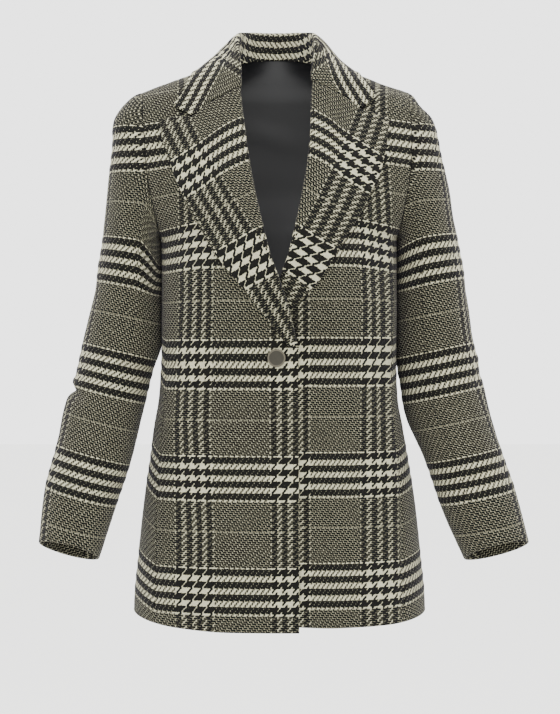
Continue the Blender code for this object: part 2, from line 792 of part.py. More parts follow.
def keep_off_body(points, clearance):
    for _ in range(CLEARING_STEPS):
        off, way = body_distance(points)
        points = points + way * np.clip(clearance - off, 0, LONGEST_STEP)[..., None]
    return points


def wrap_section(side_name, wrap):
    """A section of the collar that wraps the front's edge, as a row of the collar's table."""
    side = SIDES[side_name]
    level = wrap[WRAP_COLUMNS.index(side_name + "_height")]
    rise = wrap[WRAP_COLUMNS.index("rise")]
    levels = np.array([level - 2.0, level, level + 2.0])
    distance = read(FRONT_EDGE, EDGE_COLUMNS, "distance", levels)
    points, normals = front_face(side_name, distance, levels)
    normal = normals[1]
    over_edge = -unit(np.cross(points[2] - points[0], normal)) * side
    middle = points[1] - normal * CLOTH / 2
    fold = middle + over_edge * rise
    foot = middle - normal * WRAP_RADIUS - over_edge * WRAP_FOOT
    edge = np.array(wrap[-3:], dtype=float) * (side, 1, 1)
    if wrap is WRAPS[-1]:
        names = [side_name + "_distance", side_name + "_height"]
        corner = [np.array(float(COLLAR_END[-1][TOP_COLUMNS.index(name)])) for name in names]
        tip, tip_normal = front_face(side_name, *corner)
        edge = tip + tip_normal * LAPEL_LIFT[-1][1]
    return (side * wrap[0], *foot, *fold, WRAP_RADIUS, *normal, *edge)


def collar_stations():
    """The collar's table from its right end round the back to its left end."""
    names = COLLAR_COLUMNS
    lean = float(ring("lean", NECK_POINT))
    rows = []
    for side_name, side in SIDES.items():
        for wrap in WRAPS:
            rows.append(wrap_section(side_name, wrap))
        for row in COLLAR:
            values = list(row)
            values[0] *= side
            for name in ("foot_x", "fold_x", "face_x", "edge_x"):
                values[names.index(name)] *= side
            for name in ("foot_x", "fold_x", "edge_x"):
                values[names.index(name)] += lean
            if row[0] > 0 or side > 0:
                rows.append(tuple(values))
    return tuple(sorted(rows))


def end_path(side_name, across):
    """Points on the front under the collar's end, from the roll line to the collar's corner."""
    knots = column(COLLAR_END, TOP_COLUMNS, "step")
    distance = np.interp(across, knots, column(COLLAR_END, TOP_COLUMNS, side_name + "_distance"))
    height = np.interp(across, knots, column(COLLAR_END, TOP_COLUMNS, side_name + "_height"))
    point, normal = front_face(side_name, distance, height + GORGE_GAP)
    return point + normal * read(LAPEL_LIFT, LAPEL_LIFT_COLUMNS, "lift", across)[..., None]


def make_collar():
    table = collar_stations()
    last = WRAPS[-1][0]
    stations = np.linspace(-last, last, 2 * last * COLLAR_STEPS + 1)
    value = {name: read(table, COLLAR_COLUMNS, name, stations) for name in COLLAR_COLUMNS[1:]}
    foot, fold, face, edge = (
        np.stack([value[part + axis] for axis in ("_x", "_y", "_z")], axis=-1)
        for part in ("foot", "fold", "face", "edge")
    )
    along = unit(np.gradient(fold, axis=0))
    face = unit(face - along * np.sum(face * along, axis=-1, keepdims=True))
    apex = np.cross(along, face)
    radius = value["fold_radius"][:, None]
    columns = [foot]
    start = fold - face * radius
    columns.append((foot + start) / 2)
    for turn in FOLD_TURNS:
        swing = math.radians(turn)
        columns.append(fold + radius * (face * math.cos(swing) + apex * math.sin(swing)))
    top = columns[-1]
    span = np.linalg.norm(edge - top, axis=-1, keepdims=True)
    start_pull = (edge - top) * FALL_PULL_DOWN + face * span * FALL_PULL_OUT
    end_pull = (edge - top) * FALL_PULL_AT_EDGE
    fall = []
    for t in np.linspace(0, 1, FALL_COLUMNS + 1)[1:]:
        fall.append(hermite(top, start_pull, edge, end_pull, t))
    fall = np.stack(fall, axis=1)
    shares = np.linspace(0, 1, FALL_COLUMNS + 1)[1:]
    for side_name, side in SIDES.items():
        end = -1 if side > 0 else 0
        bend = end_path(side_name, shares) - fall[end]
        weight = np.clip(side * stations - (last - END_BLEND), 0, END_BLEND) / END_BLEND
        fall = fall + (weight**2)[:, None, None] * bend[None]
    fall = keep_off_body(fall, FALL_CLEARANCE)
    outer = np.concatenate([np.stack(columns, axis=1), fall], axis=1)
    middle = len(stations) // 2
    normals = outward_normals(outer, fall[middle, 2], np.array([0, 1, 0]))
    add_wall("collar", outer, outer - normals * CLOTH, TWEED_GREY)


# The button: a flat disc with a low rim, on a short foot that ends at the cloth. Each row is
# a radius and a distance off the cloth.
BUTTON_PROFILE = (
    (0, 4.6),
    (9.4, 4.6),
    (10.2, 5.2),
    (11.4, 5.2),
    (12.1, 4.5),
    (12.1, 3.4),
    (11.2, 2.4),
    (4.2, 2.0),
    (3.6, 0.4),
    (0, 0.4),
)
BUTTON_HEIGHT = -389.0
BUTTON_DISTANCE = 3.0
BUTTON_SIDES = 20


def make_button():
    profile = bpy.data.meshes.new("button")
    points = [(radius * MM, 0, depth * MM) for radius, depth in BUTTON_PROFILE]
    profile.from_pydata(points, [(i, i + 1) for i in range(len(points) - 1)], [])
    button = add_object("button", profile, BUTTON_OLIVE, 0.4, 0.2)
    turn = button.modifiers.new("turn", "SCREW")
    turn.steps = BUTTON_SIDES
    turn.render_steps = BUTTON_SIDES
    turn.use_merge_vertices = True
    turn.merge_threshold = 0.00005
    point, normal = front_face("right", np.array(BUTTON_DISTANCE), np.array(BUTTON_HEIGHT))
    button.location = point * MM
    button.rotation_euler = Vector(normal).to_track_quat("Z", "Y").to_euler()


def main():
    for old in list(bpy.data.objects):
        bpy.data.objects.remove(old, do_unlink=True)
    collection = bpy.data.collections.new(COLLECTION_NAME)
    bpy.context.scene.collection.children.link(collection)
    make_body()
    make_sleeves()
    for side_name in SIDES:
        make_lapel(side_name)
    make_collar()
    make_button()


main()
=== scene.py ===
# Tweed hacking jacket: woven cloth, lining, button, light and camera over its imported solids.
# Sizes in the tables are millimetres and degrees, unless a note says otherwise.
import math

import bpy
import numpy as np
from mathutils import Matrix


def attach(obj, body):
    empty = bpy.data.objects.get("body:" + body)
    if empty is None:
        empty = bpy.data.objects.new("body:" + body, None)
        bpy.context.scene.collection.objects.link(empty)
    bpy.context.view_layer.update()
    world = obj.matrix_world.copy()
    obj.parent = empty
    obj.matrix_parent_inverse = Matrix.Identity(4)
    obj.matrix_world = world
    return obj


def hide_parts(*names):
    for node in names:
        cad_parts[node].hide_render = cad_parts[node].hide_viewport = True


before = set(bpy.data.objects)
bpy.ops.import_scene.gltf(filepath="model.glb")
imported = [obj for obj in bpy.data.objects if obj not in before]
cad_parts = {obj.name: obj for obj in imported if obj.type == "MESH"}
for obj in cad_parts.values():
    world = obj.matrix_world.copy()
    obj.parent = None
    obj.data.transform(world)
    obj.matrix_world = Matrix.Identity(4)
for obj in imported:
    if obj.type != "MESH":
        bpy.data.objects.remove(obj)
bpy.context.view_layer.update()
print("frame loaded")

mm = 0.001
sideSigns = {"right": -1, "left": 1}

cloth = {
    "thickness": 3.0,
    "seamGap": 0.3,
    "gridStep": 3.3,
    "edgeSteps": (0.0, 0.3, 0.8, 1.6, 3.0),  # the grid is finer at the edges
    "edgeRadius": 1.7,  # a turned and pressed edge
    "edgeBluntness": 0.12,  # the least that is left of the wall there
    "seamDip": 0.45,  # the cloth sinks beside a seam
    "seamWidth": 4.0,
    "cornerDip": 1.3,  # the most that it sinks where two seams meet, in seam dips
    "warpPitch": 2.59,  # a pair of warp yarns
    "weftPitch": 2.84,  # a pair of weft yarns
    "stripeRelief": 0.45,  # dark stripes are beaten up closer and stand proud
    "slub": 0.22,  # uneven yarn
    "slubSize": 1.7,  # in pairs
    "slubSeed": 3,
    "flatRelief": 0.7,  # lapels and collar are pressed flatter
}

frontView = {"distance": 2600.0, "level": -388.0}

# A soft fold is never quite straight, swells at one side and fades at both ends.
foldForm = {"bow": 0.12, "swell": 0.9, "lean": 0.35, "fade": 0.8}


def smoothStep(t):
    return t * t * (3 - 2 * t)


def hermite(start, startPull, end, endPull, t):
    # from start to end, leaving and arriving along the two pulls
    bend = t * (1 - t) ** 2 * startPull - t * t * (1 - t) * endPull
    return (1 + 2 * t) * (1 - t) ** 2 * start + smoothStep(t) * end + bend


def smoothCurve(knots, values, wanted):
    # a curve through the knots that never swings past them
    wanted = np.clip(wanted, knots[0], knots[-1])
    steps = np.diff(knots)
    rises = np.diff(values) / steps
    slopes = np.zeros_like(values)
    leftWeight = 2 * steps[1:] + steps[:-1]
    rightWeight = steps[1:] + 2 * steps[:-1]
    with np.errstate(divide="ignore", invalid="ignore"):
        mean = (leftWeight + rightWeight) / (leftWeight / rises[:-1] + rightWeight / rises[1:])
    slopes[1:-1] = np.where(rises[:-1] * rises[1:] > 0, mean, 0.0)
    slopes[0], slopes[-1] = rises[0], rises[-1]
    place = np.clip(np.searchsorted(knots, wanted) - 1, 0, len(steps) - 1)
    step = steps[place]
    t = (wanted - knots[place]) / step
    return hermite(values[place], slopes[place] * step, values[place + 1], slopes[place + 1] * step, t)


def rising(rows):
    # a table as an array, in rising order of its first column
    rows = np.array(rows, dtype=float)
    return rows[np.argsort(rows[:, 0], kind="stable")]


def lookUp(table, column, wanted):
    return smoothCurve(table[:, 0], table[:, column], np.asarray(wanted, dtype=float))


def unit(vectors):
    return vectors / np.linalg.norm(vectors, axis=-1, keepdims=True)


def spread(length):
    # places from 0 to 1 along a length of cloth, closer together at its two edges
    edge = np.array(cloth["edgeSteps"]) / length
    count = max(2, round((1 - 2 * edge[-1]) * length / cloth["gridStep"]))
    middle = np.linspace(edge[-1], 1 - edge[-1], count + 1)
    return np.concatenate([edge[:-1], middle, 1 - edge[:-1][::-1]])


def arcLengths(grid, axis):
    steps = np.linalg.norm(np.diff(grid, axis=axis), axis=-1)
    return np.concatenate([np.zeros_like(np.take(steps, [0], axis)), np.cumsum(steps, axis)], axis)


def edgeRuns(grid, axis):
    # lengths of cloth from the first and from the last row or column
    run = arcLengths(grid, axis)
    return run, np.take(run, [-1], axis) - run


def inFront(points):
    # across and height in the view, at the size that they have in the jacket's middle plane
    shrink = 1 + points[..., 1] / frontView["distance"]
    return points[..., 0] / shrink, frontView["level"] + (points[..., 2] - frontView["level"]) / shrink


def straightParts(x, knots, values):
    # straight lines between knots that differ from point to point, and on past the ends
    place = (x[..., None] >= knots[..., 1:-1]).sum(-1)
    low = np.take_along_axis(knots, place[..., None], -1)[..., 0]
    high = np.take_along_axis(knots, place[..., None] + 1, -1)[..., 0]
    return values[place] + (x - low) / (high - low) * (values[place + 1] - values[place])


def patchy(u, v, size, seed):
    # smooth unevenness, mostly from -1 to 1, over the cloth
    cells, strength = 64, 0.6
    noise = np.random.default_rng(seed).standard_normal((cells, cells))
    x, y = np.mod(u / size, cells - 2), np.mod(v / size, cells - 2)
    i, j = np.floor(x).astype(int), np.floor(y).astype(int)
    s, t = smoothStep(x - i), smoothStep(y - j)
    low = noise[i, j] * (1 - s) + noise[i + 1, j] * s
    high = noise[i, j + 1] * (1 - s) + noise[i + 1, j + 1] * s
    return (low * (1 - t) + high * t) * strength


def creases(x, y, rows):
    # soft folds: from x, y to x, y, with a width and a depth
    total = np.zeros_like(x)
    for x0, y0, x1, y1, width, depth in rows:
        dx, dy = x1 - x0, y1 - y0
        length = math.hypot(dx, dy)
        along = ((x - x0) * dx + (y - y0) * dy) / length**2
        bow = foldForm["bow"] * length * (along - along**2)
        t = (((x - x0) * dy - (y - y0) * dx) / length + bow) / width
        fade = (np.clip(along, 0, 1) * np.clip(1 - along, 0, 1) * 4) ** foldForm["fade"]
        total -= depth * fade * (1 - foldForm["swell"] * (t - foldForm["lean"]) ** 2) * np.exp(-t * t)
    return total


# The check: how yarn colours repeat, in pairs of yarns, from the first edge of a group of stripes.
check = {
    "repeat": 55,
    "darkStarts": (1, 7, 13, 19),
    "stripe": 3,  # each dark and each light stripe
    "groupEnd": 23,
    "paleWeft": 40,  # one pale pair in the middle of the plain weft
    "reliefFade": 1.5,  # the stripes' relief starts and ends over this
}
darkCentres = np.array(check["darkStarts"]) + check["stripe"] / 2


def stripeHeight(v):
    # dark weft stripes stand proud of the light ones
    place = np.mod(v, check["repeat"])
    inGroup = np.clip(np.minimum(place, check["groupEnd"] - place) / check["reliefFade"], 0, 1)
    return cloth["stripeRelief"] * np.cos((place - darkCentres[0]) * math.pi / check["stripe"]) * inGroup


def groupKnots(count, first=0):
    # middles of the dark stripes in some groups that follow each other
    return np.concatenate([darkCentres + check["repeat"] * group for group in range(first, first + count)])


def findNormals(grid):
    normal = np.cross(np.gradient(grid, axis=0), np.gradient(grid, axis=1))
    return normal / np.maximum(np.linalg.norm(normal, axis=-1, keepdims=True), 1e-9)


# Each piece is printed with its triangles and its area in square metres.
materials = {}


def addPiece(mesh, node):
    # the piece rides with the frame and stands for its solid
    piece = bpy.data.objects.new(mesh.name, mesh)
    bpy.context.scene.collection.objects.link(piece)
    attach(piece, "root")
    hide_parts(node)
    return piece


def wallFaces(shape):
    # faces of a closed wall: its shown side, its hidden side and the rim between them
    index = np.arange(shape[0] * shape[1]).reshape(shape)
    under = index + index.size
    front = np.stack([index[:-1, :-1], index[1:, :-1], index[1:, 1:], index[:-1, 1:]], -1).reshape(-1, 4)
    rims = [
        (index[1:, 0], index[:-1, 0], under[:-1, 0], under[1:, 0]),
        (index[:-1, -1], index[1:, -1], under[1:, -1], under[:-1, -1]),
        (index[0, :-1], index[0, 1:], under[0, 1:], under[0, :-1]),
        (index[-1, 1:], index[-1, :-1], under[-1, :-1], under[-1, 1:]),
    ]
    return front, front[:, ::-1] + index.size, np.concatenate([np.stack(parts, -1) for parts in rims])


def clothPiece(name, outer, normal, weave, edges, facing=True, relief=1.0):
    # a closed wall of cloth on a grid of its outer points, lined inside where it isn't faced
    half = cloth["thickness"] / 2
    height = stripeHeight(weave[1]) + cloth["slub"] * patchy(*weave, cloth["slubSize"], cloth["slubSeed"])
    raised = outer + normal * (height * relief)[..., None]
    share = np.ones(outer.shape[:2])
    dip = np.zeros(outer.shape[:2])
    for kind, distance in zip(edges, edgeRuns(raised, 0) + edgeRuns(raised, 1)):
        if kind == "free":
            share = np.minimum(share, np.clip(distance / cloth["edgeRadius"], 0, 1))
        if kind == "seam":
            dip += cloth["seamDip"] * np.clip(1 - distance / cloth["seamWidth"], 0, 1) ** 2
    rounding = np.maximum(np.sqrt(1 - (1 - share) ** 2), cloth["edgeBluntness"])
    dip = np.minimum(dip, cloth["seamDip"] * cloth["cornerDip"])
    shown = raised - normal * (dip + half * (1 - rounding))[..., None]
    hidden = outer - normal * (half * (1 + rounding))[..., None]
    front, back, rim = wallFaces(share.shape)
    faces = np.concatenate([front, back, rim])
    middle = (len(shown) // 2, shown.shape[1] // 2)
    if np.dot(findNormals(shown)[middle], normal[middle]) < 0:
        faces = faces[:, ::-1]
    points = np.concatenate([shown.reshape(-1, 3), hidden.reshape(-1, 3)]) * mm
    mesh = bpy.data.meshes.new(name + "_cloth")
    mesh.from_pydata(points.tolist(), [], faces.tolist())
    mesh.materials.append(materials["tweed"])
    mesh.materials.append(materials["lining"])
    satin = ~np.broadcast_to(facing, share.shape)
    satin = (satin[:-1, :-1] & satin[1:, 1:]).reshape(-1)
    finish = np.concatenate([np.zeros(len(front)), satin, np.zeros(len(rim))]).astype(np.int32)
    mesh.polygons.foreach_set("material_index", finish)
    corners = np.zeros(len(mesh.loops), np.int32)
    mesh.loops.foreach_get("vertex_index", corners)
    flat = np.tile(np.stack(weave, -1).reshape(-1, 2), (2, 1))
    mesh.uv_layers.new(name="weave").data.foreach_set("uv", flat[corners].astype(np.float32).ravel())
    mesh.shade_smooth()
    mesh.update()
    piece = addPiece(mesh, name)
    cells = np.cross(np.diff(shown, axis=0)[:, :-1], np.diff(shown, axis=1)[:-1])
    area = np.linalg.norm(cells, axis=-1).sum() * mm**2
    print(name, len(faces) * 2, "triangles,", round(area, 4), "square metres")


def hexColour(text):
    parts = [int(text[i : i + 2], 16) / 255 for i in (1, 3, 5)]
    return tuple(p / 12.92 if p <= 0.04045 else ((p + 0.055) / 1.055) ** 2.4 for p in parts) + (1.0,)


def addNode(tree, kind, inputs, output=0, **settings):
    # a node with its settings and links, which gives the output that the next one reads
    node = tree.nodes.new("ShaderNode" + kind)
    for name, value in settings.items():
        setattr(node, name, value)
    for name, value in inputs.items():
        if isinstance(value, bpy.types.NodeSocket):
            tree.links.new(value, node.inputs[name])
        else:
            node.inputs[name].default_value = value
    return node.outputs[output]


def newMaterial(name, surface):
    material = bpy.data.materials.new(name)
    material.use_nodes = True
    shader = material.node_tree.nodes["Principled BSDF"]
    for socket, value in surface.items():
        shader.inputs[socket].default_value = value
    return material, material.node_tree, shader


# Woollen tweed, woven with its weft on the face two pairs out of three: rough and matt, with
# loose fibres that catch light at the edges, and colours that are never quite even.
tweed = {
    "light": "#c2bfa2",
    "lightWorn": "#a7a389",
    "dark": "#0b0b0a",
    "darkWorn": "#161613",
    "surface": {
        "Roughness": 0.95,
        "Specular IOR Level": 0.06,
        "Sheen Weight": 0.07,
        "Sheen Roughness": 0.35,
        "Sheen Tint": hexColour("#dcd6ea"),
    },
    "mixed": 0.5,  # marks the plain ground, whose pairs are one light and one dark yarn
    "plainGreyAndShade": 0.62,  # the ground's light yarn is thin and greyer, and painted darker as shade from the dark yarns beside it
    "pale": 0.35,
    "floatLean": 0.8,  # each warp float leans into the next, so that they join in a slanting line
    "floats": 3.0,  # the warp comes up over each weft pair at every third warp pair
    "darkSpread": ((0.28, 0.0, 0.0), (0.0, 0.35, 0.0)),  # in pairs: the dark yarn is the thicker one
    "wander": 0.9,  # yarns wander by a part of this share of a pair
    "nubs": (-0.3, 0.1),  # carded wool has nubs of the other colour in every yarn
    # the length, detail and roughness of each unevenness
    "noises": {
        "wander": (3.7, 4.0, 0.6),
        "nub": (2.355, 4.0, 0.7),
        "wear": (19.92, 3.0, 0.5),
        "fuzz": (0.8355, 3.0, 0.5),
    },
    "gapShade": 0.45,  # how dark the cloth is between two yarns
    # strength and height of the yarns' roundness and of the nap on them
    "round": (0.8, 0.6),
    "nap": (0.7, 0.4),
}


def yarnColour(tree, along, isWeft):
    # one set of yarns: pair number, place across the pair, and its colour from 0 dark to 1 light
    pair = addNode(tree, "Math", {0: along}, operation="FLOOR")
    part = addNode(tree, "Math", {0: along}, operation="FRACT")
    middle = addNode(tree, "Math", {0: pair, 1: 0.5}, operation="ADD")
    turns = addNode(tree, "Math", {0: middle, 1: check["repeat"]}, operation="DIVIDE")
    turn = addNode(tree, "Math", {0: turns}, operation="FRACT")
    stops = [(0, 1.0)]
    for start in check["darkStarts"]:
        stops += [(start, 0.0), (start + check["stripe"], 1.0)]
    stops += [(check["groupEnd"], tweed["mixed"])]
    if isWeft:
        stops += [(check["paleWeft"], tweed["pale"]), (check["paleWeft"] + 1, tweed["mixed"])]
    shades = addNode(tree, "ValToRGB", {0: turn})
    ramp = shades.node.color_ramp
    ramp.interpolation = "CONSTANT"
    while len(ramp.elements) < len(stops):
        ramp.elements.new(0.99)
    for element, (start, value) in zip(ramp.elements, stops):
        element.position = start / check["repeat"]
        element.color = (value, value, value, 1)
    band = addNode(tree, "RGBToBW", {0: shades})
    mixed = addNode(tree, "Math", {0: band, 1: tweed["mixed"], 2: 0.1}, operation="COMPARE")
    lightHalf = addNode(tree, "Math", {0: part, 1: 0.5}, operation="GREATER_THAN" if isWeft else "LESS_THAN")
    # the ground's light yarn is greyer, and darkened further as painted shade from the thicker dark yarns
    # beside it
    single = addNode(tree, "Math", {0: lightHalf, 1: tweed["plainGreyAndShade"]}, operation="MULTIPLY")
    return pair, part, addNode(tree, "Mix", {0: mixed, 2: band, 3: single})


def weaveColour(tree, place):
    # the colour that shows, where the warp is up, and the places across both yarns' pairs
    along = addNode(tree, "SeparateXYZ", {0: place}).node.outputs
    warpPair, warpPart, warpColour = yarnColour(tree, along[0], False)
    weftPart, weftColour = yarnColour(tree, along[1], True)[1:]
    fromMiddle = addNode(tree, "Math", {0: warpPart, 1: 0.5}, operation="SUBTRACT")
    lean = addNode(tree, "Math", {0: fromMiddle, 1: tweed["floatLean"]}, operation="MULTIPLY")
    leaning = addNode(tree, "Math", {0: along[1], 1: lean}, operation="SUBTRACT")
    row = addNode(tree, "Math", {0: leaning}, operation="FLOOR")
    step = addNode(tree, "Math", {0: warpPair, 1: row}, operation="SUBTRACT")
    place = addNode(tree, "Math", {0: step, 1: tweed["floats"]}, operation="FLOORED_MODULO")
    warpUp = addNode(tree, "Math", {0: place, 1: 0.5}, operation="LESS_THAN")
    return addNode(tree, "Mix", {0: warpUp, 2: weftColour, 3: warpColour}), warpUp, (weftPart, warpPart)


def makeTweed():
    material, tree, shader = newMaterial("woollenTweed", tweed["surface"])
    place = addNode(tree, "UVMap", {}, uv_map="weave")
    noises = {}
    for name, (length, detail, roughness) in tweed["noises"].items():
        scale = cloth["warpPitch"] / length  # the weave's own map counts pairs of yarns
        inputs = {"Vector": place, "Scale": scale, "Detail": detail, "Roughness": roughness}
        noises[name] = addNode(tree, "TexNoise", inputs)
    wander = noises["wander"].node.outputs["Color"]
    centred = addNode(tree, "VectorMath", {0: wander, 1: (0.5, 0.5, 0.5)}, operation="SUBTRACT")
    shift = addNode(tree, "VectorMath", {0: centred, "Scale": tweed["wander"]}, operation="SCALE")
    moved = addNode(tree, "VectorMath", {0: place, 1: shift}, operation="ADD")
    shade, warpUp, parts = weaveColour(tree, moved)
    for spreadBy in tweed["darkSpread"]:
        neighbour = addNode(tree, "VectorMath", {0: moved, 1: spreadBy}, operation="ADD")
        shade = addNode(tree, "Math", {0: shade, 1: weaveColour(tree, neighbour)[0]}, operation="MINIMUM")
    # two round yarns in each pair, and the cloth sinks between them
    rounds = []
    for part in parts:
        yarns = addNode(tree, "Math", {0: part, 1: 2.0}, operation="MULTIPLY")
        yarn = addNode(tree, "Math", {0: yarns}, operation="FRACT")
        angle = addNode(tree, "Math", {0: yarn, 1: math.pi}, operation="MULTIPLY")
        rounds.append(addNode(tree, "Math", {0: angle}, operation="SINE"))
    roundYarn = addNode(tree, "Mix", {0: warpUp, 2: rounds[0], 3: rounds[1]})
    low, high = tweed["nubs"]
    fleck = addNode(tree, "MapRange", {"Value": noises["nub"], 1: 0.3, 2: 0.7, 3: low, 4: high})
    blend = addNode(tree, "Math", {0: shade, 1: fleck}, operation="ADD", use_clamp=True)
    shades = []
    for name in ("dark", "light"):
        inputs = {0: noises["wear"], 6: hexColour(tweed[name]), 7: hexColour(tweed[name + "Worn"])}
        shades.append(addNode(tree, "Mix", inputs, 2, data_type="RGBA"))
    colour = addNode(tree, "Mix", {0: blend, 6: shades[0], 7: shades[1]}, 2, data_type="RGBA")
    gap = addNode(tree, "MapRange", {"Value": roundYarn, 1: 0.0, 2: 0.75, 3: tweed["gapShade"], 4: 1.0})
    shadow = addNode(tree, "VectorMath", {0: colour, "Scale": gap}, operation="SCALE")
    bump = None
    for (strength, depth), height in ((tweed["round"], roundYarn), (tweed["nap"], noises["fuzz"])):
        inputs = {"Strength": strength, "Distance": depth * mm, "Height": height}
        bump = addNode(tree, "Bump", inputs | ({"Normal": bump} if bump else {}))
    tree.links.new(shadow, shader.inputs["Base Color"])
    tree.links.new(bump, shader.inputs["Normal"])
    return material


# Viscose satin lining: dark and smooth, with a long soft shine.
lining = {
    "surface": {"Roughness": 0.42, "Specular IOR Level": 0.4, "Sheen Weight": 0.15, "Sheen Roughness": 0.3},
    "colour": "#101012",
    # painted highlight: paler patches that stand in for light caught on the satin's creases
    "creaseHighlight": "#18181a",
    "creases": (71.43, 3.0),  # length and detail of the painted crease highlights
    "threads": (0.6667, 2.0),  # drawn coarser than the real ones, which are too fine to show
    "threadBump": (0.25, 0.2),  # strength and height
}


def makeLining():
    material, tree, shader = newMaterial("satinLining", lining["surface"])
    place = addNode(tree, "TexCoord", {}, "Object")
    noises = []
    for length, detail in (lining["creases"], lining["threads"]):
        inputs = {"Vector": place, "Scale": 1 / (length * mm), "Detail": detail}
        noises.append(addNode(tree, "TexNoise", inputs))
    # the satin's colour, mixed with its painted crease highlights
    shades = {0: noises[0], 6: hexColour(lining["colour"]), 7: hexColour(lining["creaseHighlight"])}
    strength, depth = lining["threadBump"]
    bump = {"Strength": strength, "Distance": depth * mm, "Height": noises[1]}
    tree.links.new(addNode(tree, "Mix", shades, 2, data_type="RGBA"), shader.inputs["Base Color"])
    tree.links.new(addNode(tree, "Bump", bump), shader.inputs["Normal"])
    return material


materials["tweed"] = makeTweed()
materials["lining"] = makeLining()
print("cloth materials ready")

# The body: fronts, side panels and back lie on one form.
bodyForm = {
    "columns": ("height", "halfWidth", "frontDepth", "backDepth", "lean", "squareness"),
    "rings": rising((
        (42, 54, 46, 66, -4.5, 2.0), (25, 70, 50, 70, -4.5, 2.0), (12, 102, 53.5, 73, -4.5, 2.0),
        (0, 136, 56.5, 76, -4.5, 2.0), (-18, 190, 60, 80, -4.5, 2.0), (-30, 224, 63.5, 84, -4.3, 2.0),
        (-50, 247, 70, 90, -3.6, 2.0), (-80, 252, 82, 97.5, -2.4, 2.0), (-120, 238, 97, 104, -1.2, 2.0),
        (-160, 214, 110, 107.5, -1.0, 2.05), (-190, 193, 118, 107, -0.6, 2.1),
        (-210, 176, 121.5, 106, -0.5, 2.15), (-225, 165, 123.5, 105.5, -0.5, 2.2),
        (-250, 164.3, 126, 104, -0.3, 2.3), (-300, 164.2, 125, 97, -0.3, 2.4),
        (-360, 164.3, 117.5, 88, -0.5, 2.4), (-400, 165.3, 112.5, 83.5, -1.2, 2.4),
        (-443, 167.5, 110, 82.5, -1.7, 2.4), (-487, 174, 110.5, 88, -1.6, 2.4),
        (-521, 179, 112, 95, -0.8, 2.4), (-566, 186, 114.5, 104, -0.3, 2.4),
        (-622, 193, 118, 112.5, 0.0, 2.4), (-667, 197.5, 121, 116, 0.0, 2.4),
        (-711, 202, 123.5, 118.5, 0.0, 2.4), (-770, 204.5, 125.5, 120, 0.0, 2.4),
    )),
    "neckPoint": 25.0,
    "neckBack": 42.0,
    "neckShare": 0.4,
    "shoulderEnd": -18.0,
    "armholeFoot": -225.0,
    "armholeSeamTurn": 145.0,
    # distance from the middle by height
    "armhole": rising((
        (-18, 190), (-40, 187.5), (-70, 184.5), (-120, 182), (-155, 177.5), (-190, 170.5), (-210, 167),
        (-225, 165),
    )),
    # front and back angle of the side panel's seams, by height
    "sideSeams": (
        (-300, 16.5, 16), (-370, 17.8, 17), (-480, 19.1, 19), (-575, 21.4, 21), (-700, 25.1, 24),
        (-770, 26, 25),
    ),
    "seamRadius": 90.0,  # about the body's at these seams
    "backRise": 4.0,  # in the middle of the back the grid is this much higher than at the seam's top
    # right and left height by angle
    "hem": rising((
        (-90, -748, -748), (-35, -748, -748), (0, -740, -740), (35, -753, -750), (60, -757, -751),
        (90, -757, -748), (105, -757, -746),
    )),
    "hemTurns": {"front": 100, "side": 25, "back": -90},  # where each panel's corner is read
    "lapHeights": (-770, -400, -376, -290, -255, -220),
    "lapDepths": (5.0, 5.0, 9.0, 9.0, 3.0, 0.0),
    "lapEnd": 80.0,
    "lapFade": 45.0,
    "facingWidth": 85.0,
    "hemTurnUp": 38.0,
    "foldFree": 26.0,  # folds die away at seams and edges, so that neighbours still meet
    # how wide and long the panels' grids are
    "length": 790,
    "sideLength": 545,
    "frontWidth": 225,
    "sideWidth": 115,
    "backWidth": 520,
}
frontShape = {
    # distance of the edge from the middle, by height
    "edge": rising((
        (-770, -26.5), (-378, -26.5), (-372, -20.7), (-349, -14.5), (-312, -4.8), (-284, 4.6), (-256, 15),
        (-215, 25.3), (-173, 34.7), (-121, 44), (-64, 50.2), (-20, 53.5), (-6, 55), (4, 56.5), (12, 59),
        (19, 63), (25, 70),
    )),
    "break": -378.0,
    "rollStart": -372.0,
    "rowsToBreak": 9,
    "lowerRows": 15,
    "upperRows": 9,
    "edgeRows": (-212.0, -175.0, -135.0, -90.0, -52.0, -24.0, -5.0, 8.0, 18.0, 25.0),
}


def ringSize(name, height):
    return lookUp(bodyForm["rings"], bodyForm["columns"].index(name), height)


def bodyPoint(side, angle, height):
    # angle 0 is the side, 90 the front and -90 the back
    turn = np.radians(angle)
    square = ringSize("squareness", height)
    across = np.abs(np.cos(turn)) / ringSize("halfWidth", height)
    depth = np.where(turn > 0, ringSize("frontDepth", height), ringSize("backDepth", height))
    radius = (across**square + (np.abs(np.sin(turn)) / depth) ** square) ** (-1 / square)
    x = ringSize("lean", height) + side * radius * np.cos(turn)
    return np.stack(np.broadcast_arrays(x, -radius * np.sin(turn), height), axis=-1)


def bodyFace(side, angle, height):
    # points and their normals
    turnStep, rise = 0.05, 0.2
    around = bodyPoint(side, angle + turnStep, height) - bodyPoint(side, angle - turnStep, height)
    up = bodyPoint(side, angle, height + rise) - bodyPoint(side, angle, height - rise)
    return bodyPoint(side, angle, height), unit(-side * np.cross(around, up))


def angleAt(distance, height, depthName="frontDepth"):
    square = ringSize("squareness", height)
    share = np.clip(np.abs(distance) / ringSize("halfWidth", height), 0, 1)
    depth = ringSize(depthName, height) * (1 - share**square) ** (1 / square)
    return np.degrees(np.arctan2(depth, distance))


def armhole(turn):
    # height and distance of a point on the ring, and its angles on the front and on the back
    top, foot = bodyForm["shoulderEnd"], bodyForm["armholeFoot"]
    height = (top + foot) / 2 + (top - foot) / 2 * np.cos(np.radians(turn))
    distance = lookUp(bodyForm["armhole"], 1, height)
    return height, distance, angleAt(distance, height), angleAt(distance, height, "backDepth")


def hemHeight(sideName, angle):
    return lookUp(bodyForm["hem"], 1 + list(sideSigns).index(sideName), angle)


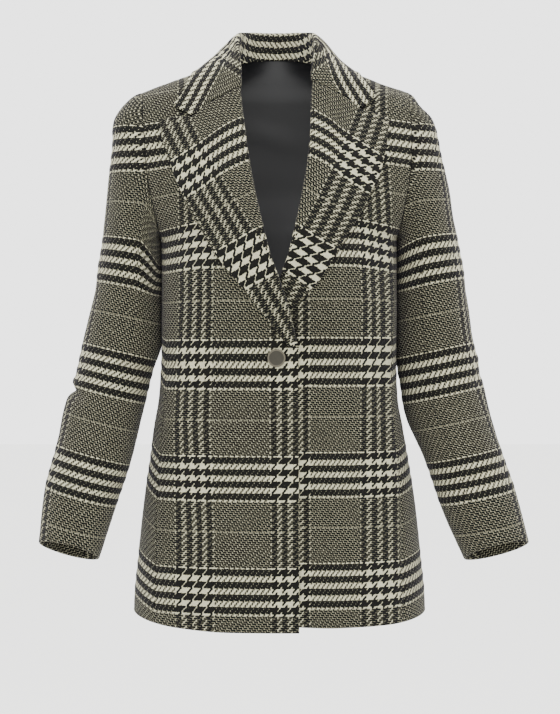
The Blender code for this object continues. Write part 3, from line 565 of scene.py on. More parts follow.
def outerEdge(rows, sideName, which):
    # a panel's edge up the side seam and round the armhole
    sign, column = (1, 1) if which == "front" else (-1, 2)
    seamTurn = bodyForm["armholeSeamTurn"]
    top, _, frontTop, backTop = armhole(seamTurn)
    seams = rising(bodyForm["sideSeams"] + ((float(top), float(frontTop), float(backTop)),))
    hem = float(hemHeight(sideName, sign * bodyForm["hemTurns"]["side"]))
    low = hem + (top - hem) * np.minimum(rows, 1)
    height, _, *upper = armhole(seamTurn * (2 - np.maximum(rows, 1)))
    angle = np.where(rows <= 1, lookUp(seams, column, low), upper[column - 1])
    return sign * angle, np.where(rows <= 1, low, height)


def blendPanel(start, end, hemBend, topBend, across, rows):
    # angles and heights between two edges; the hem's own curve soon fades, the top's starts late
    shareUp = rows / rows[-1]
    low, high = (1 - shareUp) ** 3, shareUp**6
    panel = []
    for first, last, hem, top in zip(start, end, hemBend, topBend):
        between = np.outer(1 - across, first) + np.outer(across, last)
        panel.append(between + np.outer(hem, low) + np.outer(top, high))
    return panel


def hemCurve(sideName, startAngle, endAngle, across):
    heights = hemHeight(sideName, startAngle + (endAngle - startAngle) * across)
    return np.zeros_like(across), heights - (heights[0] + (heights[-1] - heights[0]) * across)


seamTrim = math.degrees(cloth["seamGap"] / 2 / bodyForm["seamRadius"])


def frontGrid(sideName, across, rows):
    endAngle, endHeight = outerEdge(rows, sideName, "front")
    endAngle = endAngle + seamTrim
    hem = float(hemHeight(sideName, bodyForm["hemTurns"]["front"]))
    lower, upper, turned = frontShape["lowerRows"], frontShape["upperRows"], frontShape["rowsToBreak"]
    toBreak = np.linspace(hem, frontShape["break"], turned + 1)
    overBreak = np.linspace(frontShape["rollStart"], frontShape["edgeRows"][0], lower - turned)
    heights = np.concatenate([toBreak, overBreak, frontShape["edgeRows"][1:]])
    steps = np.concatenate([np.linspace(0, 1, lower + 1), np.linspace(1, 2, upper + 1)[1:]])
    startHeight = np.interp(rows, steps, heights)
    startAngle = angleAt(lookUp(frontShape["edge"], 1, startHeight), startHeight)
    startAngle = np.maximum(startAngle, endAngle[-1])
    bend = hemCurve(sideName, startAngle[0], endAngle[0], across)
    still = (np.zeros_like(across), np.zeros_like(across))
    return blendPanel((startAngle, startHeight), (endAngle, endHeight), bend, still, across, rows)


def sideGrid(sideName, across, rows):
    frontAngle, frontHeight = outerEdge(rows, sideName, "front")
    backAngle, backHeight = outerEdge(rows, sideName, "back")
    frontAngle, backAngle = frontAngle - seamTrim, backAngle + seamTrim
    seamTurn = bodyForm["armholeSeamTurn"]
    turn = seamTurn + (360 - 2 * seamTurn) * across
    height, _, front, back = armhole(turn)
    angle = np.where(turn <= 180, front, -back)
    line = frontAngle[-1] + (backAngle[-1] - frontAngle[-1]) * across
    level = height[0] + (height[-1] - height[0]) * across
    inside = np.sin(math.pi * across) > 1e-6
    topBend = (np.where(inside, angle - line, 0.0), height - level)
    bend = hemCurve(sideName, frontAngle[0], backAngle[0], across)
    return blendPanel((frontAngle, frontHeight), (backAngle, backHeight), bend, topBend, across, rows)


def backGrid(sideName, across, rows):
    endAngle, endHeight = outerEdge(rows, sideName, "back")
    endAngle = endAngle - seamTrim
    middleTurn = bodyForm["hemTurns"]["back"]
    hem = float(hemHeight(sideName, middleTurn))
    seamTop = float(armhole(bodyForm["armholeSeamTurn"])[0])
    upper = (endHeight - seamTop) / (bodyForm["shoulderEnd"] - seamTop)
    level = seamTop + bodyForm["backRise"]
    neckBack, neckPoint, share = bodyForm["neckBack"], bodyForm["neckPoint"], bodyForm["neckShare"]
    startHeight = np.where(rows <= 1, hem + (level - hem) * rows, level + (neckBack - level) * upper)
    startAngle = np.full_like(startHeight, middleTurn)
    onNeck = np.clip(across / share, 0, 1)
    onShoulder = np.clip((across - share) / (1 - share), 0, 1)
    drop = endAngle[-1] - middleTurn
    height = neckBack + (neckPoint - neckBack) * onNeck + (bodyForm["shoulderEnd"] - neckPoint) * onShoulder
    straightHeight = neckBack + (bodyForm["shoulderEnd"] - neckBack) * across
    topBend = (drop * onNeck - drop * across, height - straightHeight)
    bend = hemCurve(sideName, middleTurn, endAngle[0], across)
    return blendPanel((startAngle, startHeight), (endAngle, endHeight), bend, topBend, across, rows)


def bodyDistance(points):
    # how far points are off the body, and the way that leads straight off it
    def reach(p):
        square = ringSize("squareness", p[..., 2])
        x = np.abs(p[..., 0] - ringSize("lean", p[..., 2])) / ringSize("halfWidth", p[..., 2])
        depth = np.where(p[..., 1] < 0, ringSize("frontDepth", p[..., 2]), ringSize("backDepth", p[..., 2]))
        return (x**square + (np.abs(p[..., 1]) / depth) ** square) ** (1 / square) - 1

    nudge = 0.05
    slope = [(reach(points + way) - reach(points - way)) / (2 * nudge) for way in np.eye(3) * nudge]
    slope = np.stack(slope, axis=-1)
    steepness = np.linalg.norm(slope, axis=-1, keepdims=True)
    return reach(points) / steepness[..., 0], slope / steepness


def lapDepth(distance, height):
    # how far the left front is pressed back under the right one
    depth = np.interp(height, bodyForm["lapHeights"], bodyForm["lapDepths"])
    return depth * smoothStep(np.clip((bodyForm["lapEnd"] - distance) / bodyForm["lapFade"], 0, 1))


# The shoulders settle a little under the cloth's weight, one more than the other: the middle of
# each dent, its two widths, and how far the cloth moves across and up.
settleDents = (
    (88, 30, 28, 28, -3.5, -2.5),
    (150, -5, 35, 25, 0.0, -3.0),
    (192, -32, 22, 22, -5.5, -1.5),
    (-82, 32, 24, 24, 2.5, -1.5),
    (-188, -30, 20, 20, 3.5, -1.0),
)


def settle(points):
    moved = points.copy()
    for x, z, wide, tall, across, up in settleDents:
        share = np.exp(-(((points[..., 0] - x) / wide) ** 2) - ((points[..., 2] - z) / tall) ** 2)
        moved[..., 0] += share * across
        moved[..., 2] += share * up
    return moved


# Where the checks lie on the body: heights of the dark weft stripes' middles from the hem up, and
# places across of the dark warp stripes' middles at five heights, as seen from in front.
bodyCheck = {
    "weft": {
        "right": (-726.3, -709.5, -692.8, -676.0, -574.9, -558.8, -542.7, -526.7, -424.8, -408.1, -388.0,
                  -370.6, -260.8, -243.3, -227.2, -211.7, -119.0, -101.7, -83.9, -66.5),
        "left": (-718.1, -702.1, -685.4, -669.3, -569.8, -553.7, -537.7, -521.7, -420.7, -403.4, -385.3,
                 -367.3, -258.5, -239.5, -224.2, -208.2, -114.3, -99.4, -81.3, -64.1),
    },
    "tiltHeights": (-330, -240, -90),
    "tilts": (0.0, 0.16, 0.10),  # stripes fall towards the armhole, past 110 from the middle
    "tiltFrom": 110.0,
    "warpHeights": (-633.0, -479.0, -312.4, -168.2, -70.2),
    "warp": {
        "right": (
            (-140.7, -125.3, -111.3, -97.3, -6.3, 7.7, 23.1, 38.5),
            (-143.5, -132.3, -118.3, -102.9, -7.7, 7.7, 23.1, 37.1),
            (-136.5, -125.3, -111.3, -98.7, -7.7, 7.7, 23.1, 37.1),
            (-136.5, -125.3, -111.3, -98.7, -7.7, 7.7, 23.1, 37.1),
            (-136.5, -125.3, -111.3, -98.7, -7.7, 7.7, 23.1, 37.1),
        ),
        "left": (
            (-6.3, 7.7, 23.1, 38.5, 118.3, 133.7, 149.1, 163.1),
            (-7.7, 7.7, 23.1, 37.1, 118.3, 133.7, 144.9, 161.7),
            (-7.7, 7.7, 23.1, 37.1, 121.1, 132.3, 144.9, 160.3),
            (-7.7, 7.7, 23.1, 37.1, 114.1, 126.7, 137.9, 151.9),
            (-7.7, 7.7, 23.1, 37.1, 105.7, 118.3, 130.9, 144.9),
        ),
    },
    "firstGroup": {"right": 0, "left": 1},
    # between their seams the side panels' stripes rise, more so below the waist
    "sideRise": {"right": 20.0, "left": 12.0},
    "riseHeights": (-440, -340),
    "rises": (1.0, 0.2),
    "sideWarpStart": {"right": 50.0, "left": 24.0},
    "backWarpMiddle": 11.5,
    "backBlend": 150.0,  # from one side's weft to the other's
}


def weftAt(level, runUp, knots):
    # the weft of rows that rise along the second axis: over the shoulder, past the last stripe,
    # it goes on by the cloth's own length
    knots = np.array(knots, dtype=float)
    inside = np.interp(level, knots, groupKnots(len(knots) // len(darkCentres)))
    crossing = [np.interp(knots[-1], levels, run) for levels, run in zip(level, runUp)]
    past = np.maximum(runUp - np.array(crossing)[:, None], 0) * (level > knots[-1])
    return inside + (past + np.minimum(level - knots[0], 0)) / cloth["weftPitch"]


def bodyWeft(sideName, points):
    tilt = np.interp(points[..., 2], bodyCheck["tiltHeights"], bodyCheck["tilts"])
    level = points[..., 2] + tilt * np.maximum(np.abs(points[..., 0]) - bodyCheck["tiltFrom"], 0)
    return weftAt(level, arcLengths(points, 1), bodyCheck["weft"][sideName])


def frontWarp(sideName, points):
    across, heights = inFront(points)
    table = np.array(bodyCheck["warp"][sideName]).T
    knots = np.stack([np.interp(heights, bodyCheck["warpHeights"], places) for places in table], -1)
    warp = straightParts(across, knots, groupKnots(2, bodyCheck["firstGroup"][sideName]))
    # past the outer stripe the cloth turns away from view, so its own length counts
    arc = arcLengths(points, 0)
    side = sideSigns[sideName]
    outside = across < knots[..., 0] if side < 0 else across > knots[..., -1]
    for row in range(points.shape[1]):
        past = np.flatnonzero(outside[:, row])
        if len(past) and past[0] > 0:
            last = past[0] - 1
            warp[past, row] = warp[last, row] + side * (arc[past, row] - arc[last, row]) / cloth["warpPitch"]
    return warp


# soft folds on the body: from x, height to x, height, width, depth
bodyFolds = {
    "front_right": (
        (-158, -232, -78, -318, 17, 2.0), (-152, -262, -95, -372, 20, 1.4),
        (-30, -398, -138, -446, 15, 1.6), (-28, -372, -120, -352, 13, 1.0),
        (-112, -470, -128, -640, 26, 1.8), (-62, -520, -58, -735, 30, 1.6),
    ),
    "front_left": (
        (158, -228, 84, -306, 16, 1.9), (150, -270, 104, -360, 18, 1.3), (42, -402, 140, -440, 16, 1.5),
        (60, -372, 132, -346, 14, 1.1), (118, -462, 132, -660, 25, 2.0), (70, -548, 78, -740, 28, 1.4),
    ),
    "back": (
        (-150, -210, -60, -300, 22, 2.2), (146, -205, 66, -290, 20, 2.0), (-120, -388, 20, -410, 18, 1.8),
        (128, -380, -10, -436, 20, 1.6), (-84, -470, -96, -735, 34, 2.6), (72, -480, 92, -740, 30, 2.4),
        (-8, -560, 6, -745, 30, 1.6), (-60, -60, 50, -84, 20, 1.2),
    ),
    "side_right": ((-178, -330, -170, -470, 20, 1.4),),
    "side_left": ((176, -340, 172, -480, 20, 1.5),),
}


def bendPiece(name, points, normal):
    lift = creases(points[..., 0], points[..., 2], bodyFolds[name])
    for run in edgeRuns(points, 0) + edgeRuns(points, 1):
        lift = lift * np.clip(run / bodyForm["foldFree"], 0, 1)
    return points + normal * lift[..., None]


def makeFront(sideName, side, rows):
    name = "front_" + sideName
    angle, height = frontGrid(sideName, spread(bodyForm["frontWidth"]), rows)
    points, normal = bodyFace(side, angle, height)
    if sideName == "left":
        distance = points[..., 0] - ringSize("lean", height)
        points = points - normal * lapDepth(distance, height)[..., None]
    points = settle(bendPiece(name, points, normal))
    weave = frontWarp(sideName, points), bodyWeft(sideName, points)
    edgeRun, hemRun = arcLengths(points, 0), arcLengths(points, 1)
    facing = (edgeRun < bodyForm["facingWidth"]) | (hemRun < bodyForm["hemTurnUp"])
    clothPiece(name, points, normal, weave, ("free", "seam", "free", "seam"), facing)


def makeSidePanel(sideName, side):
    name = "side_" + sideName
    width, length = spread(bodyForm["sideWidth"]), spread(bodyForm["sideLength"])
    points, normal = bodyFace(side, *sideGrid(sideName, width, length))
    points = bendPiece(name, points, normal)
    run = arcLengths(points, 0)
    warp = bodyCheck["sideWarpStart"][sideName] + side * run / cloth["warpPitch"]
    rise = bodyCheck["sideRise"][sideName] * np.sin(math.pi * run / run[-1:])
    rise = rise * np.interp(points[..., 2], bodyCheck["riseHeights"], bodyCheck["rises"])
    weft = bodyWeft(sideName, points - rise[..., None] * (0, 0, 1))
    facing = arcLengths(points, 1) < bodyForm["hemTurnUp"]
    clothPiece(name, points, normal, (warp, weft), ("seam", "seam", "free", "seam"), facing)


def makeBack(rows):
    wholeWay = spread(bodyForm["backWidth"])
    halfWay = wholeWay[len(wholeWay) // 2 :] * 2 - 1
    halves = [bodyFace(side, *backGrid(sideName, halfWay, rows)) for sideName, side in sideSigns.items()]
    points, normal = [np.concatenate([right[::-1], left[1:]]) for right, left in zip(*halves)]
    points = settle(bendPiece("back", points, normal))
    run = arcLengths(points, 0)
    warp = bodyCheck["backWarpMiddle"] - (run - run[len(halfWay) - 1]) / cloth["warpPitch"]
    share = np.clip(points[..., 0] / bodyCheck["backBlend"], -1, 1) / 2 + 0.5
    weft = bodyWeft("right", points) * (1 - share) + bodyWeft("left", points) * share
    facing = arcLengths(points, 1) < bodyForm["hemTurnUp"]
    clothPiece("back", points, normal, (warp, weft), ("seam", "seam", "free", "seam"), facing)


panelRows = np.interp(spread(bodyForm["length"]), (0, 0.7, 1), (0, 1, 2))  # 1 is the side seam's top
for sideName, side in sideSigns.items():
    makeFront(sideName, side, panelRows)
for sideName, side in sideSigns.items():
    makeSidePanel(sideName, side)
makeBack(panelRows)
print("body made")

sleeveShape = {
    "columns": ("height", "rightInner", "rightOuter", "leftInner", "leftOuter", "centreY", "halfDepth"),
    "rings": rising((
        (-262, 166.8, 254, 166.5, 257, 2, 63), (-310, 166.5, 262, 166.2, 264, 5, 61),
        (-362, 167.5, 274, 166.5, 270.5, 7, 58), (-409, 179, 284, 168.5, 281.5, 5, 55),
        (-454, 190, 296, 174, 291, -3, 53.5), (-520, 205, 309.5, 201, 306.5, -24, 50.5),
        (-585, 225.5, 323.5, 223, 325, -46, 46), (-652, 246, 328, 252, 340, -69, 41),
    )),
    "radius": 52.0,  # about the arm's
    "gridRadius": 50.0,  # the same, for the number of its columns
    "capLength": 250.0,
    "armLength": 400.0,
    "cuffSlopeOut": 0.24,
    "cuffSlopeForward": 0.31,
    "upperRows": 9,
    "underSteps": 2,
    "seamDraw": 1.05,  # behind the arm the seam is drawn closer, so that no light comes through it
    "drawSharpness": 3,
    # the head leaves the armhole by these degrees below level, at its foot, middle and top
    "headDips": (38, 46, 14),
    "headPull": (18.0, 132.0),  # how strongly it leaves, at the foot, and how much more at the top
    "armPull": (40.0, 240.0),  # how strongly it hangs into the arm
    "pullPower": 1.2,
    "headForward": 0.25,
    "armOutward": 0.2,
    # over this length the head and the shoulder run on into each other, in this upper part of the ring
    "headBlend": 16.0,
    "headBlendPart": (0.5, 0.8),
    "cuffTurnUp": 34.0,
    # heights of the dark weft stripes at the arm's outer line, and how they fall towards the body
    "weft": {
        "right": (-560.2, -545.5, -530.1, -514.3, -421.7, -405.4, -389.5, -373.0, -275.0, -258.0, -241.1,
                  -224.3, -125.9, -108.8, -91.9, -74.6),
        "left": (-563.6, -547.6, -532.2, -517.0, -421.9, -405.1, -388.8, -372.0, -271.4, -255.0, -237.5,
                 -221.0, -124.0, -106.5, -89.8, -71.7),
    },
    "outerLine": rising((
        (-652, 334), (-520, 308), (-409, 283), (-310, 263), (-262, 255), (-150, 246), (-60, 236),
    )),
    "fallHeights": (-560, -400, -250, -130, -60),
    "falls": {"right": (0.27, 0.23, 0.17, 0.02, 0.0), "left": (0.208, 0.204, 0.17, 0.02, 0.0)},
    # each half is cut on its own: its warp at the arm's outer line, and at the front seam
    "warpAtOuter": {
        "right": rising(((-652, 10), (-400, 8), (-120, 8), (-50, 15))),
        "left": rising(((-652, 12), (-520, 12.5), (-400, 18), (-262, 20.5), (-120, 19), (-50, 11))),
    },
    "underWarp": {"right": 24.0, "left": 54.0},
    # near the armpit the cloth is drawn down: how far, from where, over what
    "draw": {"right": 24.0, "left": 6.0},
    "drawFrom": {"right": 57.0, "left": 45.0},
    "drawOver": {"right": 23.0, "left": 33.0},
    "drawMost": 1.3,
    "drawHeights": (-310, -232),
    # the arm rests against the body: how close, how far round, and where by height
    "restGap": ((-240, -229), (0.1, -0.9)),
    "restMost": 4.0,
    "restWidth": 34.0,
    "rest": {"right": ((-395, -365, -225.5, -224.5), (0.0, 1.0, 1.0, 0.0)),
             "left": ((-430, -395, -225.5, -224.5), (0.0, 1.0, 1.0, 0.0))},
    "foldFree": 30.0,
    # nothing swells between arm and body: how far the arm faces it, and how high up
    "innerSide": (0.5, 0.75),
    "innerHeights": (-470.0, -410.0),
    # soft folds: from turn, height to turn, height, width, depth
    "folds": {
        "right": (
            (-52, -424, 66, -444, 9, 7.6), (62, -128, 122, -236, 13, 2.6), (96, -396, 168, -412, 12, 2.4),
            (104, -446, 176, -452, 12, 2.0), (-64, -420, -150, -396, 16, 3.4),
            (20, -512, 84, -560, 16, 1.6), (-30, -250, 34, -318, 20, 1.6),
            (-120, -470, -60, -520, 16, 1.8),
        ),
        "left": (
            (58, -132, 120, -242, 13, 2.8), (70, -384, 160, -404, 13, 2.6),
            (-20, -396, 58, -432, 15, 2.6), (86, -442, 170, -448, 12, 2.0),
            (-60, -414, -146, -392, 15, 3.2), (10, -522, 80, -566, 15, 1.4),
            (-26, -262, 40, -326, 20, 1.4), (-116, -464, -58, -514, 16, 1.8),
        ),
    },
    # swellings between the folds: turn, height, width round, width down, height
    "swells": {
        "right": (
            (0, -462, 60, 22, 1.6), (150, -428, 40, 14, 1.6), (-90, -444, 60, 22, 3.0),
            (0, -62, 60, 22, 6.0), (0, -424, 40, 16, -2.0),
        ),
        "left": (
            (4, -462, 60, 28, 0.6), (150, -424, 40, 14, 1.6), (-90, -440, 60, 22, 3.0),
            (0, -26, 90, 22, -7.0), (0, -104, 70, 52, -5.5), (0, -190, 50, 30, -2.5),
            (0, -465, 60, 45, -2.5),
        ),
    },
}


def armRing(sideName, turn, height):
    # turn 0 is the outer side, 90 the front and 180 the inner side
    side = sideSigns[sideName]
    names, rings = sleeveShape["columns"], sleeveShape["rings"]
    inner = lookUp(rings, names.index(sideName + "Inner"), height)
    outer = lookUp(rings, names.index(sideName + "Outer"), height)
    out = (outer - inner) / 2 * np.cos(np.radians(turn))
    back = -lookUp(rings, names.index("halfDepth"), height) * np.sin(np.radians(turn))
    top, foot = rings[-1, 0], rings[0, 0]
    share = (top - height) / (top - foot)
    tilt = share * (sleeveShape["cuffSlopeOut"] * out - sleeveShape["cuffSlopeForward"] * back)
    x = side * ((inner + outer) / 2 + out)
    centre = lookUp(rings, names.index("centreY"), height)
    return np.stack(np.broadcast_arrays(x, centre + back, height + tilt), axis=-1)


def towardsTop(turns):
    # 0 at the foot of the armhole, 1 at its top
    return (1 + np.cos(np.radians(turns))) / 2


def sleeveGrid(sideName, turns, capSteps, armSteps):
    # rings from the armhole over the head, and on down the arm
    side = sideSigns[sideName]
    height, distance, front, back = armhole(turns)
    forward, upward = np.sin(np.radians(turns)), towardsTop(turns)
    depth = np.where(forward >= 0, -np.tan(np.radians(front)), np.tan(np.radians(back))) * distance
    drawn = np.clip(-sleeveShape["drawSharpness"] * forward, 0, 1)
    closer = cloth["seamGap"] - sleeveShape["seamDraw"] * drawn
    start = np.stack([ringSize("lean", height) + side * (distance + closer), depth, height], axis=-1)
    dip = np.radians(np.interp(upward, (0, 0.5, 1), sleeveShape["headDips"]))
    startWay = np.stack([side * np.cos(dip), -sleeveShape["headForward"] * forward, -np.sin(dip)], -1)
    endWay = np.stack([side * sleeveShape["armOutward"] * upward, 0 * upward, 0 * upward - 1], -1)
    pulls = []
    for way, (least, more) in ((startWay, sleeveShape["headPull"]), (endWay, sleeveShape["armPull"])):
        pulls.append(way * (least + more * upward ** sleeveShape["pullPower"])[:, None])
    top, foot = sleeveShape["rings"][-1, 0], sleeveShape["rings"][0, 0]
    end = armRing(sideName, turns, np.full_like(turns, top))
    rings = [hermite(start, pulls[0], end, pulls[1], t) for t in capSteps]
    rings += [armRing(sideName, turns, np.full_like(turns, top + (foot - top) * t)) for t in armSteps[1:]]
    return np.array(rings)


def sleeveNormals(side, turns, points, past):
    # past holds a column beyond each long seam, so that both halves agree there
    beside = np.concatenate([past[:, :1], points, past[:, 1:]], axis=1)
    normal = -side * np.cross(np.gradient(points, axis=0), beside[:, 2:] - beside[:, :-2])
    normal[:3] = normal[3]  # the first rows are too close together to have their own
    # at the top of the armhole the two walls run on into each other
    height, _, front, back = armhole(turns)
    bodyWay = bodyFace(side, np.where(np.sin(np.radians(turns)) >= 0, front, -back), height)[1]
    shoulder = np.interp(towardsTop(turns), sleeveShape["headBlendPart"], (0, 1))
    share = shoulder * np.clip(1 - arcLengths(points, 0) / sleeveShape["headBlend"], 0, 1)
    return unit(unit(normal) * (1 - share[..., None]) + bodyWay * share[..., None])


def sleeveLift(sideName, turns, points):
    # how far folds and swellings lift the cloth; turns are unrolled to millimetres for the folds
    perTurn = math.radians(sleeveShape["radius"])
    turns = np.broadcast_to(np.where(turns > 180, turns - 360, turns), points.shape[:2])
    heights = points[..., 2]
    rows = [(a * perTurn, b, c * perTurn, *rest) for a, b, c, *rest in sleeveShape["folds"][sideName]]
    lift = creases(turns * perTurn, heights, rows)
    for turn, level, wide, tall, high in sleeveShape["swells"][sideName]:
        lift = lift + high * np.exp(-(((turns - turn) / wide) ** 2) - ((heights - level) / tall) ** 2)
    nearBody = np.interp(-np.cos(np.radians(turns)), sleeveShape["innerSide"], (0, 1))
    nearBody = nearBody * np.interp(heights, sleeveShape["innerHeights"], (0, 1))
    lift = np.where(lift > 0, lift * (1 - nearBody), lift)
    for run in edgeRuns(points, 0):
        lift = lift * np.clip(run / sleeveShape["foldFree"], 0, 1)
    return lift


def restOnBody(sideName, turns, points):
    # how far the arm's inner side is moved out against the body
    heights = points[..., 2]
    near = np.exp(-(((turns - 180) / sleeveShape["restWidth"]) ** 2))
    near = near * np.interp(heights, *sleeveShape["rest"][sideName])
    apart = bodyDistance(points)[0] - np.interp(heights, *sleeveShape["restGap"])
    return near * np.clip(apart, 0, sleeveShape["restMost"])


def sleeveWeave(sideName, part, points, arc, toCuff):
    # arc is the way round from the arm's outer line, toCuff the way down
    heights = points[..., 2]
    if part == "upper":
        start = lookUp(sleeveShape["warpAtOuter"][sideName], 1, heights)
    else:
        start, arc = sleeveShape["underWarp"][sideName], arc - arc[:, :1]
    warp = start - sideSigns[sideName] * arc / cloth["warpPitch"]
    inside = lookUp(sleeveShape["outerLine"], 1, heights) - np.abs(points[..., 0])
    fall = np.interp(heights, sleeveShape["fallHeights"], sleeveShape["falls"][sideName])
    drawn = (inside - sleeveShape["drawFrom"][sideName]) / sleeveShape["drawOver"][sideName]
    drawn = np.clip(drawn, 0, sleeveShape["drawMost"]) ** 2
    drawn = drawn * np.interp(heights, sleeveShape["drawHeights"], (0.0, 1.0))
    level = heights + fall * inside + sleeveShape["draw"][sideName] * drawn
    weft = weftAt(level.T[:, ::-1], toCuff.T[:, ::-1], sleeveShape["weft"][sideName])
    return warp, weft[:, ::-1].T


def makeSleeve(sideName, side):
    seamTurn = bodyForm["armholeSeamTurn"]
    seam = seamTurn - sleeveShape["underSteps"] * seamTurn / sleeveShape["upperRows"]
    # steps are closer together at the armhole and at the cuff, but not where cap and arm meet
    capSteps, armSteps = spread(2 * sleeveShape["capLength"]), spread(2 * sleeveShape["armLength"])
    capSteps = np.concatenate([capSteps[capSteps < 0.498] * 2, [1.0]])
    armSteps = np.concatenate([[0.0], armSteps[armSteps > 0.502] * 2 - 1])
    turnStep = math.degrees(cloth["gridStep"] / sleeveShape["radius"])
    whole = np.linspace(-seam, 360 - seam, round(360 / turnStep))
    around = arcLengths(sleeveGrid(sideName, whole, capSteps, armSteps), 1)
    around = around - around[:, np.argmin(np.abs(whole))][:, None]
    for part, first, last in (("upper", -seam, seam), ("under", seam, 360 - seam)):
        turns = first + (last - first) * spread(math.radians(last - first) * sleeveShape["gridRadius"])
        points = sleeveGrid(sideName, turns, capSteps, armSteps)
        past = sleeveGrid(sideName, np.array([turns[0] - 1, turns[-1] + 1]), capSteps, armSteps)
        normal = sleeveNormals(side, turns, points, past)
        toCuff = edgeRuns(points, 0)[1]
        points = points + normal * sleeveLift(sideName, turns, points)[..., None]
        points = settle(points + normal * restOnBody(sideName, turns, points)[..., None])
        # both long seams are trimmed by half their gap
        for edge, inner in ((0, 1), (-1, -2)):
            points[:, edge] += unit(points[:, inner] - points[:, edge]) * cloth["seamGap"] / 2
        # the sleeve head is cut with the arm, so its warp runs straight on up from there
        ringRows = np.maximum(np.arange(len(points)), len(capSteps) - 1)
        arc = np.stack([np.interp(turns, whole, around[row]) for row in ringRows])
        weave = sleeveWeave(sideName, part, points, arc, toCuff)
        facing = toCuff < sleeveShape["cuffTurnUp"]
        name = "sleeve_" + part + "_" + sideName
        clothPiece(name, points, normal, weave, ("seam", "free", "seam", "seam"), facing)


for sideName, side in sideSigns.items():
    makeSleeve(sideName, side)
print("sleeves made")

# The lapels are the fronts' turned facings.
lapelShape = {
    # right and left distance of the outer edge from the middle, by height
    "edge": rising((
        (-376, -14, -15), (-361, -2, -7), (-339, 14.5, 8), (-320, 30, 21.5), (-303, 43, 37.5),
        (-289, 54, 51.5), (-268, 71.5, 64.5), (-243, 90, 79), (-215, 104.5, 96), (-185, 121.8, 114),
        (-158, 134, 127), (-140, 141.5, 136.5), (-120, 147.5, 142), (-100, 155, 147), (-82, 158.5, 149.5),
        (-65, 160.5, 152), (-62, 160.5, 152),
    )),
    # gorge seam to the notch, then the top edge to the corner: share, distance and height
    "top": {
        "right": (
            (0.0, 53.5, -21), (0.22, 73.5, -33.5), (0.43, 95.5, -44.5), (0.6, 113.5, -61.5),
            (0.8, 137, -60.5), (1.0, 160.5, -65),
        ),
        "left": (
            (0.0, 53.5, -12.5), (0.22, 74, -25), (0.43, 95.5, -36), (0.6, 112.5, -50.5), (0.8, 133, -56),
            (1.0, 152, -62),
        ),
    },
    "length": 360,
    "width": 112,
    # section of the roll: across the roll line and off the front
    "roll": ((-4.0, -1.5), (-5.0, 1.0), (-3.6, 4.2), (0.0, 5.6)),
    "rollSteps": (0, 0.3, 0.8, 1.4),  # its first rows, along the section
    "rollRows": 9,  # and how many from the last of them to the flat
    "lift": rising(((0.0, 5.6), (0.2, 7.0), (0.6, 6.0), (1.0, 4.4))),
    "lapCover": 18.0,
    "lapFade": 10.0,
    "lapPress": 0.25,
    # the check as seen from in front: height of a group's top dark stripe by distance across, how
    # far below it its stripes lie, and place of the first dark warp stripe and their step by height
    "upperBand": {
        "right": (
            (-133.7, -106.6), (-122.5, -99.6), (-111.3, -92.6), (-97.3, -82.1), (-83.3, -72.3),
            (-69.3, -63.9), (-55.3, -57.6),
        ),
        "left": (
            (51.1, -48.5), (62.3, -54.1), (73.5, -61.1), (84.7, -70.9), (98.7, -80.7), (109.9, -88.4),
            (121.1, -96.1), (140.7, -109.4),
        ),
    },
    "lowerBand": {
        "right": (
            (-76.3, -238.2), (-62.3, -230.5), (-48.3, -222.1), (-34.3, -214.4), (-24.5, -209.5),
            (-13.3, -203.2),
        ),
        "left": (
            (17.5, -201.8), (25.9, -207.4), (34.3, -213.0), (42.7, -219.3), (53.9, -227.0), (65.1, -233.3),
            (76.3, -239.6),
        ),
    },
    "upperSteps": (52.08, 34.3, 17.08, 0.0),
    "lowerSteps": (62.44, 41.72, 20.58, 0.0),
    "warpLine": {
        "right": (
            (-308.2, -44.1), (-207.4, -100.8), (-182.2, -114.8), (-168.2, -123.9), (-87.0, -168.7),
            (-67.4, -177.8),
        ),
        "left": ((-308.2, -14.7), (-196.2, 44.1), (-168.2, 58.8), (-87.0, 96.6), (-56.2, 108.5)),
    },
    "warpStep": {
        "right": ((-196.2, 18.48), (-87.0, 17.92)),
        "left": ((-308.2, 19.88), (-175.2, 19.88), (-87.0, 17.78), (-70.2, 17.36)),
    },
    "inwardRow": 6,  # the way in from the roll is taken over this many rows
    "rollStretch": 0.955,  # how much smaller the cloth looks at the roll than it is
}


def onLines(x, rows):
    # straight lines through a table's points, and on past its ends
    rows = np.array(rows, dtype=float)
    inside = np.interp(x, rows[:, 0], rows[:, 1])
    first = (rows[1, 1] - rows[0, 1]) / (rows[1, 0] - rows[0, 0])
    last = (rows[-1, 1] - rows[-2, 1]) / (rows[-1, 0] - rows[-2, 0])
    return inside + first * np.minimum(x - rows[0, 0], 0) + last * np.maximum(x - rows[-1, 0], 0)


def frontFace(sideName, distance, height):
    # points and normals of a front, with the left one pressed back under the lap
    point, normal = bodyFace(sideSigns[sideName], angleAt(distance, height), height)
    if sideName == "left":
        point = point - normal * lapDepth(distance, height)[..., None]
    return point, normal


def lapelOutline(sideName, across, up):
    column = 1 + list(sideSigns).index(sideName)
    top = np.array(lapelShape["top"][sideName], dtype=float)
    startLow, endLow = frontShape["rollStart"], lapelShape["edge"][0, 0]
    startHeight = startLow + (top[0, 2] - startLow) * up
    endHeight = endLow + (top[-1, 2] - endLow) * up
    startDistance = lookUp(frontShape["edge"], 1, startHeight)
    endDistance = lookUp(lapelShape["edge"], column, endHeight)
    bends = []
    for values in (top[:, 1], top[:, 2]):
        line = values[0] + (values[-1] - values[0]) * across
        bends.append((np.interp(across, top[:, 0], values) - line) * up**3)
    distance = startDistance + (endDistance - startDistance) * across + bends[0]
    height = startHeight + (endHeight - startHeight) * across + bends[1]
    return distance, height


